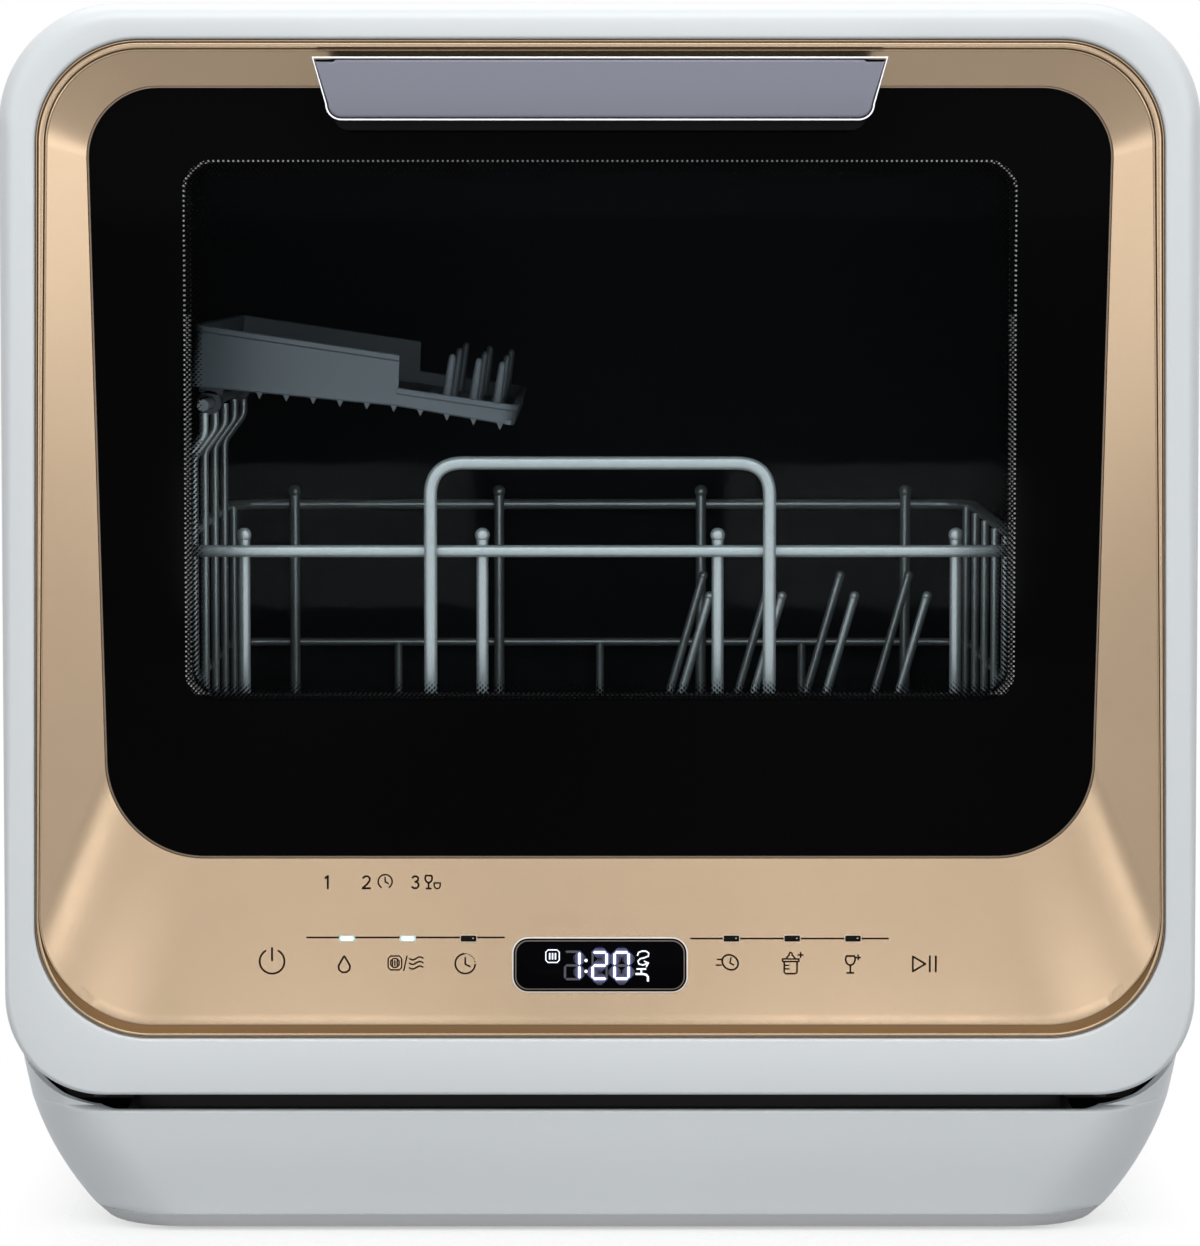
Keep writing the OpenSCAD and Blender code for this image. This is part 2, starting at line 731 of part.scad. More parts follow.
module hinge_brackets() {
    color("silver") mirror_x() difference() {
        union() {
            block(tongue_x, [hinge_y, flange_y], [hinge_z - 4, hinge_z + 4]);
            bar_x(tongue_x[0], tongue_x[1], hinge_y, hinge_z, eye_r);
            block([tongue_x[0] - 5, tongue_x[1] + 5], [flange_y - 1.1, flange_y], [hinge_z - 6, hinge_z + 9]);
        }
        bar_x(tongue_x[0] - 1, tongue_x[1] + 1, hinge_y, hinge_z, bush_r);
    }
}

module hinge_bushes() {
    color("ivory") mirror_x() difference() {
        bar_x(tongue_x[0], tongue_x[1], hinge_y, hinge_z, bush_r);
        bar_x(tongue_x[0] - 1, tongue_x[1] + 1, hinge_y, hinge_z, pin_r + 0.05);
    }
}

slot_x = [173, 181];

// Room in the foot of the door for the tongue and the arms beside it
module hinge_slots() {
    mirror_x() block([slot_x[0] - 3.4, slot_x[1] + 3.4], [hinge_y - eye_r - 0.5, door_back_y + 5],
        [hinge_z - 20, hinge_z + 10]);
}

module hinge_arms() {
    color("gray") mirror_x() {
        bar_x(slot_x[0] - 3, slot_x[1] + 3, hinge_y, hinge_z, pin_r);
        for (x = [slot_x[0] - 3, slot_x[1] + 0.5]) {
            block([x, x + 2.5], [hinge_y - 4, door_back_y - 3], [hinge_z - 3.4, hinge_z + 8]);
            block([x, x + 2.5], [hinge_y + 1, door_back_y - 3], [hinge_z, hinge_z + 34]);
        }
    }
}

latch_z = 424;

module latch_hook() {
    color("silver") {
        block([-9, 9], [door_back_y - 14, door_back_y - 3], [latch_z - 4, latch_z + 4]);
        block([-6, 6], [door_back_y - 3, flange_y + 12], [latch_z - 2, latch_z]);
        block([-6, 6], [flange_y + 9, flange_y + 12], [latch_z - 3.4, latch_z - 2]);
    }
}

module latch_strike() {
    color("gray") difference() {
        block([-18, 18], [tub_flange_y, tub_flange_y + 18], [tub_top_z + wall, 427]);
        block([-13, 13], [tub_flange_y - 1, tub_flange_y + 16], [tub_top_z + wall + 1.5, 425.5]);
    }
    color("gray") block([-13, 13], [tub_flange_y, tub_flange_y + 2], [tub_top_z + wall + 1.4, latch_z - 3.6]);
}

module latch_switch() {
    color("black") block([-8, 8], [tub_flange_y + 18, tub_flange_y + 28], [tub_top_z + wall, 425]);
}

/* Door ------------------------------------------------------------------------ */

// Edge radius of the door frame: soft round the sides and top, nearly square along the dark gap
function edge_r(z) = z > 100 ? 9 : z < 56 ? 2 : 2 + 7 * (z - 56) / 44;

module door_frame() {
    n = len(door_outline(0));
    o = door_outline(0);
    f = fascia_outline(gap);
    lip = 3;
    steps = 4;
    row_out = function (i) let (r = edge_r(o[i][1]), w = norm(f[i] - o[i])) concat(
        [between(o[i], f[i], 0, 0, 0, door_back_y)],
        [for (k = [0:steps]) between(o[i], f[i], r * (1 - cos(90 * k / steps)), 0, 0,
            front_y + r * (1 - sin(90 * k / steps)))],
        [between(o[i], f[i], w - 2, 0, 0, front_y), between(o[i], f[i], w - 0.6, 0, 0, front_y + 0.7),
         between(o[i], f[i], w, 0, 0, front_y + 2), between(o[i], f[i], w, 0, 0, front_y + 5.8),
         between(o[i], f[i], w + lip, 0, 0, front_y + 5.8)]);
    row_in = function (i) let (r = edge_r(o[i][1]), w = norm(f[i] - o[i])) concat(
        [between(o[i], f[i], wall, 0, 0, door_back_y)],
        [for (k = [0:steps]) between(o[i], f[i], max(wall, r * (1 - cos(90 * k / steps))), 0, 0,
            front_y + wall + max(r - wall, 0.1) * (1 - sin(90 * k / steps)))],
        [between(o[i], f[i], w - 2.3, 0, 0, front_y + wall), between(o[i], f[i], w - 2.2, 0, 0, front_y + 3),
         between(o[i], f[i], w - 2.1, 0, 0, front_y + 4), between(o[i], f[i], w - 2, 0, 0, front_y + 7.6),
         between(o[i], f[i], w + lip, 0, 0, front_y + 7.6)]);
    color("whitesmoke") difference() {
        skin([for (i = [0:n - 1]) row_out(i)], [for (i = [0:n - 1]) row_in(i)]);
        hinge_slots();
    }
}

module fascia() {
    f = fascia_outline(0);
    g = glass_outline(0);
    n = len(f);
    // Rim, flank and slope, as distance from the rim, share of the slope and depth
    out = [[0, 0, front_y + 5.6], [0, 0, front_y + 1.2], [0.8, 0, front_y], [2.1, 0, front_y],
        [rim_w, 0, panel_low_y], [rim_w, 0.35, panel_low_y + 0.35 * (panel_top_y - panel_low_y)],
        [rim_w, 0.7, panel_low_y + 0.7 * (panel_top_y - panel_low_y)], [rim_w, 1, panel_top_y]];
    into = [[fascia_t, 0, front_y + 5.6], [fascia_t, 0, front_y + 3], [fascia_t + 0.3, 0, front_y + 2.2],
        [3, 0, front_y + 2.4], [rim_w, 0, panel_low_y + fascia_t],
        [rim_w, 0.35, panel_low_y + 0.35 * (panel_top_y - panel_low_y) + fascia_t],
        [rim_w, 0.7, panel_low_y + 0.7 * (panel_top_y - panel_low_y) + fascia_t],
        [rim_w, 1, panel_top_y + fascia_t]];
    rows = function (s) [for (i = [0:n - 1]) [for (p = s) between(f[i], g[i], p[0], p[1], rim_w, p[2])]];
    color("tan") difference() {
        skin(rows(out), rows(into));
        on_panel(0, display_z) along_y(-4, 6) square(display_size - [1, 1], center = true);
    }
}

module outer_glass() {
    color([0.05, 0.05, 0.06]) along_y(glass_y, glass_y + 4) polygon(glass_outline(5));
}

collar_y = glass_y + 4;

module inner_glass() {
    color([0.5, 0.55, 0.6, 0.5]) along_y(door_back_y - 7, door_back_y - 3) polygon(window_outline(3.6));
}

module door_liner() {
    color("gainsboro") difference() {
        union() {
            along_y(door_back_y - 3, door_back_y) difference() {
                polygon(door_outline(wall + 0.1));
                polygon(window_outline(0));
            }
            along_y(collar_y, door_back_y - 3) difference() {
                polygon(window_outline(7));
                polygon(window_outline(4));
            }
            along_y(door_back_y, door_back_y + 6) difference() {
                polygon(mouth_outline(-7));
                polygon(mouth_outline(-10));
            }
            // Ribs that back the control panel, and bosses for its circuit board
            mirror_x() for (x = [112, 150]) difference() {
                block([x - 1.2, x + 1.2], [front_y + 2, door_back_y - 3], [74, 122]);
                on_panel(0, panel_low_z) block([-200, 200], [-30, fascia_t + 0.1], [-40, 90]);
            }
            mirror_x() bar_y(70, glass_y + 4.1, door_back_y - 3, 96, 4);
            block([-150, 150], [collar_y, door_back_y - 3], [392, 395]);
        }
        hinge_slots();
        cup_pocket(0.2);
        block([-6.3, 6.3], [door_back_y - 4, door_back_y + 1], [latch_z - 2.3, latch_z + 0.3]);
    }
}

module door_screws() {
    color("silver") {
        mirror_x() for (p = [[194, 120], [194, 250], [194, 375], [110, 424.8]])
            bar_y(p[0], door_back_y, door_back_y + 0.9, p[1], 3.2);
    }
}

module panel_screws() {
    color("silver") mirror_x() for (p = [[188, 120], [188, 270], [150, 408], [150, 25.3], [60, 25.3]])
        bar_y(p[0], rear_y - 2.5, rear_y - 0.9, p[1], 3.6);
}

/* Handle ----------------------------------------------------------------------- */

// Handle outline down to a lower edge: straight slanting sides and rounded lower corners
function handle_outline(grow, low) = let (
    r = 5.6 + grow,
    ht = handle_top_w / 2 + grow,
    hl = handle_low_w / 2 + grow - (handle_low_z - low) / 2
) concat(
    [[ht, handle_top_z + grow]],
    [[-ht, handle_top_z + grow]],
    arc([r - hl, low - grow + r], r, 180, 270, 5),
    arc([hl - r, low - grow + r], r, 270, 360, 5));

module handle_plate() {
    color("lightslategray") {
        along_y(handle_y, handle_y + 3) polygon(handle_outline(-1, handle_low_z));
        along_y(handle_y + 3, handle_y + 5) polygon(handle_outline(-3, handle_low_z));
    }
}

module handle_trim() {
    color("silver") along_y(handle_y + 1, handle_y + 5) difference() {
        polygon(handle_outline(0, handle_low_z));
        polygon(handle_outline(-0.9, handle_low_z));
        translate([-95, handle_top_z - 0.9]) square([190, 2]);
    }
}

module handle_base() {
    color("black") difference() {
        along_y(handle_y + 5, glass_y) difference() {
            polygon(handle_outline(-0.8, 385.6));
        }
        along_y(handle_y + 8.5, glass_y - 2.5) translate([-86, 380]) square([172, 24]);
        // Clears the sloping top of the fascia
        translate([0, panel_low_y - 0.2, fascia_top_z - rim_w]) rotate([-35, 0, 0])
            translate([-120, 0, -14]) cube([240, 12, 30]);
        block([-120, 120], [panel_top_y - 0.3, glass_y + 1], [glass_top_z - 0.3, body_h]);
    }
}

/* Controls --------------------------------------------------------------------- */

module control_board() {
    color("green") on_panel(0, display_z + 3) {
        along_y(8, 9.6) square([196, 34], center = true);
        along_y(fascia_t + 2.2, 8) translate([0, -3]) square([52, 16], center = true);
        for (x = [-88, 88]) along_y(9.6, 14) translate([x, 0]) square([14, 10], center = true);
    }
}

module display_bezel() {
    color("silver") on_panel(0, display_z) along_y(-0.8, 2) difference() {
        square(display_size - [1.4, 1.4], center = true);
        square(display_size - [3.4, 3.4], center = true);
    }
}

module display_lens() {
    color("black") on_panel(0, display_z) along_y(-0.4, 2) square(display_size - [3.6, 3.6], center = true);
}

module led_lenses() {
    color("white") mirror_x() for (i = [0:2])
        on_panel(led_first_x + led_pitch * i, led_z) along_y(-0.25, 0) square(led_size, center = true);
}

/* Detergent cup ------------------------------------------------------------------ */

cup_size = [84, 46];
cup_depth = 16;

module cup_pocket(grow) {
    block([cup_at[0] - cup_size[0] / 2 - grow, cup_at[0] + cup_size[0] / 2 + grow],
        [door_back_y - cup_depth - grow, door_back_y + 3],
        [cup_at[1] - cup_size[1] / 2 - grow, cup_at[1] + cup_size[1] / 2 + grow]);
}

module detergent_cup() {
    color("dimgray") difference() {
        union() {
            difference() {
                cup_pocket(0);
                block([-half_w, half_w], [door_back_y, door_back_y + 9], [100, 200]);
            }
            block([cup_at[0] - 46, cup_at[0] + 122], [door_back_y, door_back_y + 2],
                [cup_at[1] - 26, cup_at[1] + 26]);
            for (z = [cup_at[1] - 26, cup_at[1] + 23])
                block([cup_at[0] - 46, cup_at[0] + 122], [door_back_y + 2, door_back_y + 6], [z, z + 3]);
        }
        block([cup_at[0] - 38, cup_at[0] + 38], [door_back_y - cup_depth + 2, door_back_y + 10],
            [cup_at[1] - 19, cup_at[1] + 19]);
    }
}

module detergent_lid() {
    color("gray") {
        block([cup_at[0] - 42, cup_at[0] + 42], [door_back_y + 2 + gap, door_back_y + 4.4],
            [cup_at[1] - 22.6, cup_at[1] + 22.6]);
        block([cup_at[0] + 30, cup_at[0] + 34], [door_back_y + 4.4, door_back_y + 8],
            [cup_at[1] - 14, cup_at[1] + 14]);
    }
}

/* Basket ------------------------------------------------------------------------- */

half_b = basket_w / 2;

function rail_path(z, y0, y1, x, r) = [for (p = concat(
    arc([x - r, y0 + r], r, -90, 0, 3), arc([x - r, y1 - r], r, 0, 90, 3),
    arc([r - x, y1 - r], r, 90, 180, 3), arc([r - x, y0 + r], r, 180, 270, 3))) [p[0], p[1], z]];

module basket_frame() {
    cross_y = concat(side_wires_y, [117]);
    post_x = [-130, -43, 43, 130];
    color("darkgray") {
        wire(rail_path(rail_z, basket_front_y, basket_back_y, half_b, 16), rail_d, [0, 0, 1], true);
        wire(rail_path(low_rail_z, basket_front_y, basket_back_y, half_b, 16), wire_d, [0, 0, 1], true);
        // Wires that run front, floor and back
        for (x = post_x) {
            y0 = basket_front_y + rail_d - 1;
            y1 = basket_back_y - rail_d + 1;
            rod([x, y0, rail_z + 5], [x, y0, basket_floor_z], rail_d);
            rod([x, y0, basket_floor_z], [x, y1, basket_floor_z], rail_d);
            rod([x, y1, basket_floor_z], [x, y1, rail_z + 5], rail_d);
        }
        for (x = [-86, 0, 86]) {
            y0 = basket_front_y + rail_d - 1;
            y1 = basket_back_y - rail_d + 1;
            rod([x, y0, rail_z], [x, y0, basket_floor_z], wire_d);
            rod([x, y0, basket_floor_z], [x, y1, basket_floor_z], wire_d);
            rod([x, y1, basket_floor_z], [x, y1, rail_z], wire_d);
        }
        // Wires that run side, floor and side
        for (y = cross_y) {
            x = half_b - rail_d + 1.4;
            z = basket_floor_z - wire_d + 0.3;
            rod([-x, y, rail_z], [-x, y, z], wire_d);
            rod([-x, y, z], [x, y, z], wire_d);
            rod([x, y, z], [x, y, rail_z], wire_d);
        }
        // The left wires rise to the rod that carries the cutlery rack
        for (y = side_wires_y) {
            x = rail_d - 1.4 - half_b;
            rod([x, y, rail_z], [x, y, rod_z - 22], wire_d);
            rod([x, y, rod_z - 22], [rod_x, y, rod_z - 11], wire_d);
            rod([rod_x, y, rod_z - 11], [rod_x, y, rod_z - 3], wire_d);
        }
        for (y = [basket_front_y + 4, basket_back_y - 4])
            rod([-half_b + 4, y, basket_floor_z - 3], [half_b - 4, y, basket_floor_z - 3], wire_d);
    }
}

module basket_loop() {
    y = basket_front_y - rail_d / 2 - 2.4;
    x = loop_w / 2;
    r = 12;
    path = concat(
        [[-x, y, low_rail_z - 4]],
        [for (p = arc([r - x, loop_z - r], r, 180, 90, 4)) [p[0], y, p[1]]],
        [for (p = arc([x - r, loop_z - r], r, 90, 0, 4)) [p[0], y, p[1]]],
        [[x, y, low_rail_z - 4]]);
    color("darkgray") wire(path, 5.4, [0, 1, 0]);
}

module plate_tines() {
    lean = 16;
    tall = 88;
    color("darkgray") {
        for (y = [-46, 56], x = [18, 46, 74, 102])
            rod([x, y, basket_floor_z + 4], [x + tall * sin(lean), y, basket_floor_z + 4 + tall * cos(lean)], wire_d);
        for (y = [-46, 56]) rod([10, y, basket_floor_z + 4], [120, y, basket_floor_z + 4], wire_d);
        for (y = [-30, 40], x = [-100, -66]) rod([x, y, basket_floor_z + 3], [x, y, basket_floor_z + 42], wire_d);
        for (y = [-30, 40]) rod([-125, y, basket_floor_z + 4], [-48, y, basket_floor_z + 4], wire_d);
    }
}

module basket_feet() {
    color("gray") mirror_x() for (y = [-72, 72]) {
        difference() {
            block([half_b - 9, half_b + 1], [y - 7, y + 7], [ledge_z + 0.3, basket_floor_z - 4]);
            block([half_b - 6, half_b - 2], [y - 10, y + 10], [ledge_z + 8, basket_floor_z - 10]);
        }
    }
}

module rack_rod() {
    color("darkgray") bar_y(rod_x, side_wires_y[0] - 12, side_wires_y[4] + 12, rod_z, rod_d / 2);
}

/* Cutlery rack -------------------------------------------------------------------- */

module cutlery_rack() {
    y0 = side_wires_y[0] - 8;
    y1 = y0 + rack_d;
    low_x = 78;
    tall = 21;
    short = 7;
    floor_t = 2;
    color("slategray") translate([rod_x, 0, rod_z]) rotate([0, rack_tilt, 0]) translate([-6, 0, 6]) {
        difference() {
            block([0, rack_w], [y0, y1], [0, floor_t]);
            for (i = [0:3], j = [0:2]) block([12 + 17 * i, 22 + 17 * i], [y0 + 10 + 62 * j, y0 + 58 + 62 * j], [-1, 4]);
            for (i = [0:2], j = [0:6]) block([low_x + 6 + 12 * i, low_x + 10 + 12 * i],
                [y0 + 6 + 28 * j, y0 + 22 + 28 * j], [-1, 4]);
        }
        // Walls: tall round the hinge side, low round the free end
        for (y = [y0, y1 - 2]) {
            block([0, low_x], [y, y + 2], [0, tall]);
            block([low_x, rack_w], [y, y + 2], [0, short]);
        }
        block([0, 2], [y0, y1], [0, tall]);
        block([rack_w - 2, rack_w], [y0, y1], [0, short]);
        block([low_x - 2, low_x], [y0, y1], [0, short]);
        // Pegs that hold cups and long tools
        for (i = [0:2], j = [0:6]) translate([low_x + 14 + 12 * i, y0 + 14 + 28 * j, floor_t - 0.5])
            cylinder(r1 = 2.6, r2 = 1.6, h = 18);
        for (i = [0:4]) translate([14 + 15 * i, y0 + 5, -3]) cube([2, 2, 3.5]);
        // Clips round the rod
        for (y = [side_wires_y[0] + 22, side_wires_y[3] + 22]) translate([6, y, -6]) rotate([-90, 0, 0])
            difference() {
                union() {
                    cylinder(r = 4.6, h = 8);
                    translate([-4.6, -6.5, 0]) cube([9.2, 6.5, 8]);
                }
                translate([0, 0, -1]) cylinder(r = rod_d / 2 + 0.08, h = 10);
            }
    }
}

// From the drawing's zero level up to the counter's
module lifted() {
    translate([0, 0, counter_drop]) children();
}

lifted() casing();
lifted() rear_frame();
lifted() rear_panel();
lifted() base_tray();
lifted() front_beam();
lifted() kick_panel();
lifted() foot_frame();
lifted() feet();
lifted() drip_channel();
lifted() tub();
lifted() tub_gasket();
lifted() sump();
lifted() filter_plate();
lifted() fine_filter();
lifted() spray_riser();
lifted() wash_pump();
lifted() drain_pump();
lifted() heater();
lifted() drain_pipe();
lifted() fill_pipe();
lifted() water_tank();
lifted() filler_neck();
lifted() power_board();
lifted() inlet_valve();
lifted() drain_outlet();
lifted() mains_gland();
lifted() hinge_brackets();
lifted() hinge_bushes();
lifted() latch_strike();
lifted() latch_switch();
lifted() panel_screws();
lifted() door_frame();
lifted() fascia();
lifted() outer_glass();
lifted() inner_glass();
lifted() door_liner();
lifted() door_screws();
lifted() handle_base();
lifted() handle_plate();
lifted() handle_trim();
lifted() control_board();
lifted() display_bezel();
lifted() display_lens();
lifted() led_lenses();
lifted() detergent_cup();
lifted() latch_hook();
lifted() hinge_arms();
lifted() detergent_lid();
lifted() basket_frame();
lifted() basket_loop();
lifted() plate_tines();
lifted() basket_feet();
lifted() rack_rod();
lifted() cutlery_rack();
lifted() spray_arm();
lifted() spray_cap();
lifted() filler_cap();
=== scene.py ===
"""Looks of the countertop dishwasher: smooth shells, glass, panel print, wires, materials, light and camera."""
import math

import bmesh
import bpy
from mathutils import Matrix, Vector


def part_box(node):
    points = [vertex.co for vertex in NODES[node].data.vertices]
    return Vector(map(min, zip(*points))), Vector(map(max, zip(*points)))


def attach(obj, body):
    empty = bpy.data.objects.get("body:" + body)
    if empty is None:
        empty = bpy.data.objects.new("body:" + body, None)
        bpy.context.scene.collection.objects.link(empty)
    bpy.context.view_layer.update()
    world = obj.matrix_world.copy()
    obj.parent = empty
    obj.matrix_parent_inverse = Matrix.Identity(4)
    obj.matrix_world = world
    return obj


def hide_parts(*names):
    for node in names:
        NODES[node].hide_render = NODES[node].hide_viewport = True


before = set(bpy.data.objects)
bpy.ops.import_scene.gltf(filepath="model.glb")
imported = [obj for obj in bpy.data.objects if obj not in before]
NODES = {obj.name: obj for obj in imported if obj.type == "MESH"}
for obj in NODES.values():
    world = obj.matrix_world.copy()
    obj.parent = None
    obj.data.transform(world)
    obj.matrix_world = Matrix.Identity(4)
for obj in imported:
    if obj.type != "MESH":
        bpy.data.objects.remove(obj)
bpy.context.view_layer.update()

MM = 0.001


def save_size():
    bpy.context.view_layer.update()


save_size()

# -------- dimensions, as in the part's source (mm)
HALF_W, BODY_H = 210.0, 431.0
FRONT, REAR = -205.0, 205.0
CORNER_R, BILGE_R, BILGE_Z = 42.0, 111.0, 75.0
SEAM_Z, WALL = 62.0, 2.5
# Heights above are measured from the drawing's own zero, and LIFT is how far the counter lies below it.
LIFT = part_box("casing")[1].z * 1000 - BODY_H
BASE_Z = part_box("base_tray")[0].z * 1000 - LIFT
DOOR_BACK, FLANGE, CASING_END = -167.0, -165.5, 190.0
DOOR_LOW, DOOR_LOW_R = 47.4, 35.0
GLASS_Y = -193.6
PANEL_LOW_Z, PANEL_LOW_Y = 72.7, -202.6
PANEL_TOP_Y, GLASS_LOW = -195.4, 130.1
PANEL_TILT = math.atan((PANEL_TOP_Y - PANEL_LOW_Y) / (GLASS_LOW - PANEL_LOW_Z))
WINDOW_W, WINDOW_H, WINDOW_Z, WINDOW_R = 146.0, 95.0, 281.0, 10.6
GAP = 0.4
ARC = 28
QUARTER = math.pi / 2

# Plans from the front: half width at the top and at the bottom, lower and upper edge, upper and lower corner radius
DOOR = (HALF_W, HALF_W, DOOR_LOW, BODY_H, CORNER_R, DOOR_LOW_R)
FASCIA = (196.2, 198.5, 68.1, 417.6, 36, 40)
GLASS = (179.8, 174.8, GLASS_LOW, 402.2, 25, 35)


def arc(cx, cz, r, a0, a1, n=ARC):
    angles = [math.radians(a0 + (a1 - a0) * i / n) for i in range(n + 1)]
    return [(cx + r * math.cos(a), cz + r * math.sin(a)) for a in angles]


def full_circle(cx, cz, r, n):
    return arc(cx, cz, r, 0, 360, n)[:-1]


def soft_rect(top, low, z0, z1, rt, rl, n=ARC):
    return (
        arc(low - rl, z0 + rl, rl, -90, 0, n)
        + arc(top - rt, z1 - rt, rt, 0, 90, n)
        + arc(rt - top, z1 - rt, rt, 90, 180, n)
        + arc(rl - low, z0 + rl, rl, 180, 270, n)
    )


def outline_of(plan, grow=0.0):
    top, low, z0, z1, rt, rl = plan
    return soft_rect(top + grow, low + grow, z0 - grow, z1 + grow, rt + grow, rl + grow)


def roof(inset):
    """The two upper corners of the cabinet."""
    cx, cz, r = HALF_W - CORNER_R, BODY_H - CORNER_R, CORNER_R - inset
    return arc(cx, cz, r, 0, 90) + arc(-cx, cz, r, 90, 180)


def cabinet_outline(inset):
    r = BILGE_R - inset
    a = math.degrees(math.asin((BILGE_Z - BASE_Z - inset) / r))
    cx = HALF_W - BILGE_R
    return arc(cx, BILGE_Z, r, -a, 0) + roof(inset) + arc(-cx, BILGE_Z, r, 180, 180 + a)


def side_x(z):
    return HALF_W if z >= BILGE_Z else HALF_W - BILGE_R + math.sqrt(BILGE_R**2 - (BILGE_Z - z) ** 2)


# -------- mesh helpers
def at(p):
    """A drawing point in mm as a place in metres."""
    return (p[0] * MM, p[1] * MM, (p[2] + LIFT) * MM)


def link(obj):
    bpy.context.scene.collection.objects.link(obj)
    return obj


def raw_mesh(name, points, faces):
    mesh = bpy.data.meshes.new(name)
    mesh.from_pydata([at(p) for p in points], [], faces)
    mesh.validate()
    return mesh


def make(name, verts, faces, body, material, **kw):
    """A mesh from points in mm, riding on a body."""
    mesh = raw_mesh(name, verts, faces)
    bm = bmesh.new()
    bm.from_mesh(mesh)
    bmesh.ops.remove_doubles(bm, verts=bm.verts, dist=1e-7)
    bmesh.ops.recalc_face_normals(bm, faces=bm.faces)
    bm.to_mesh(mesh)
    bm.free()
    return finish_mesh(name, mesh, body, material, **kw)


def finish_mesh(name, mesh, body, material, smooth=40.0, slot=None, replaces=()):
    obj = link(bpy.data.objects.new(name, mesh))
    if smooth:
        mesh.shade_smooth()
        mesh.set_sharp_from_angle(angle=math.radians(smooth))
    mesh.materials.append(material)
    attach(obj, body)
    if replaces:
        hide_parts(*replaces)
    return obj


def grid(rows, closed_u=True, closed_v=True):
    """Vertices and faces of a net of rows; closed_u joins the last row to the first, closed_v closes each row."""
    n, m = len(rows), len(rows[0])
    verts = [p for row in rows for p in row]
    faces = []
    for i in range(n if closed_u else n - 1):
        for k in range(m if closed_v else m - 1):
            a, b = i * m + k, i * m + (k + 1) % m
            c, d = ((i + 1) % n) * m + (k + 1) % m, ((i + 1) % n) * m + k
            faces.append((a, b, c, d))
    return verts, faces


def stack(rings):
    """Vertices and faces of a solid through rings of points, with a cap at each end."""
    verts, faces = grid(rings, closed_u=False)
    n = len(rings[0])
    return verts, faces + [tuple(reversed(range(n))), tuple(range(len(verts) - n, len(verts)))]


def skin(name, out, into, body, material, closed_u=True, **kw):
    """A closed shell between an outer and an inner net of points."""
    rows = [list(o) + list(reversed(i)) for o, i in zip(out, into)]
    return make(name, *(grid(rows) if closed_u else stack(rows)), body, material, **kw)


def prism(name, outline, y0, y1, body, material, bevel=0.0, segments=4, **kw):
    """An outline in X-Z pulled along Y, with an optional rounded edge at its front."""
    inner = offset(outline, -bevel)
    rings = []
    for a in [QUARTER * k / segments for k in range(segments + 1)] if bevel else [QUARTER]:
        t, y = 1 - math.sin(a), y0 + bevel * (1 - math.cos(a))
        rings.append([(o[0] + (i[0] - o[0]) * t, y, o[1] + (i[1] - o[1]) * t) for o, i in zip(outline, inner)])
    rings.append([(x, y1, z) for x, z in outline])
    return make(name, *stack(rings), body, material, **kw)


def offset(outline, grow):
    """A counter-clockwise outline moved out by grow."""
    n = len(outline)
    result = []
    for i in range(n):
        prev, here, nxt = outline[i - 1], outline[i], outline[(i + 1) % n]
        t = (nxt[0] - prev[0], nxt[1] - prev[1])
        length = math.hypot(*t) or 1.0
        result.append((here[0] + grow * t[1] / length, here[1] - grow * t[0] / length))
    return result


def baked(obj):
    """The mesh that an object comes to once its modifiers or its bevel have worked."""
    return bpy.data.meshes.new_from_object(obj.evaluated_get(bpy.context.evaluated_depsgraph_get()))


def tube(name, paths, radius, body, material, loops=(), **kw):
    """Round wires along closed loops and open paths in mm, as one mesh."""
    curve = bpy.data.curves.new(name, "CURVE")
    curve.dimensions = "3D"
    curve.bevel_depth = radius * MM
    curve.bevel_resolution = 4
    curve.use_fill_caps = True
    for points, closed in [(p, True) for p in loops] + [(p, False) for p in paths]:
        s = curve.splines.new("POLY")
        s.points.add(len(points) - 1)
        for p, q in zip(s.points, points):
            p.co = (*at(q), 1)
        s.use_cyclic_u = closed
    temp = link(bpy.data.objects.new(name, curve))
    mesh = baked(temp)
    bpy.data.objects.remove(temp)
    return finish_mesh(name, mesh, body, material, **kw)


def bend(points, r, n=8):
    """A path with its inner corners rounded to radius r."""
    pts = [Vector(p) for p in points]
    out = [pts[0]]
    for i in range(1, len(pts) - 1):
        a, b, c = pts[i - 1], pts[i], pts[i + 1]
        u, v = (a - b).normalized(), (c - b).normalized()
        half = u.angle(v) / 2
        cut = min(r / math.tan(half), (a - b).length * 0.49, (c - b).length * 0.49)
        p, q = b + u * cut, b + v * cut
        for k in range(n + 1):
            t = k / n
            out.append((1 - t) ** 2 * p + 2 * t * (1 - t) * b + t * t * q)
    out.append(pts[-1])
    return [tuple(p) for p in out]


def ball(name, spots, radius, body, material, **kw):
    bm = bmesh.new()
    for p in spots:
        place = Matrix.Translation(at(p))
        bmesh.ops.create_uvsphere(bm, u_segments=16, v_segments=10, radius=radius * MM, matrix=place)
    mesh = bpy.data.meshes.new(name)
    bm.to_mesh(mesh)
    bm.free()
    return finish_mesh(name, mesh, body, material, **kw)


def cut(obj, x0, x1, y0, y1, z0, z1, r):
    """Cuts an upright block in mm, with corner radius r, out of a mesh."""
    cx, half = (x0 + x1) / 2, (x1 - x0) / 2
    plan = [(x + cx, y) for x, y in soft_rect(half, half, y0, y1, r, r, 10 if r > 1 else 1)]
    mesh = raw_mesh("cutter", *stack([[(x, y, z) for x, y in plan] for z in (z0, z1)]))
    tool = link(bpy.data.objects.new("cutter", mesh))
    mod = obj.modifiers.new("cut", "BOOLEAN")
    mod.object = tool
    mod.operation = "DIFFERENCE"
    mod.solver = "EXACT"
    bpy.context.view_layer.update()
    result, old = baked(obj), obj.data
    obj.modifiers.clear()
    obj.data = result
    bpy.data.meshes.remove(old)
    bpy.data.objects.remove(tool)
    bpy.data.meshes.remove(mesh)


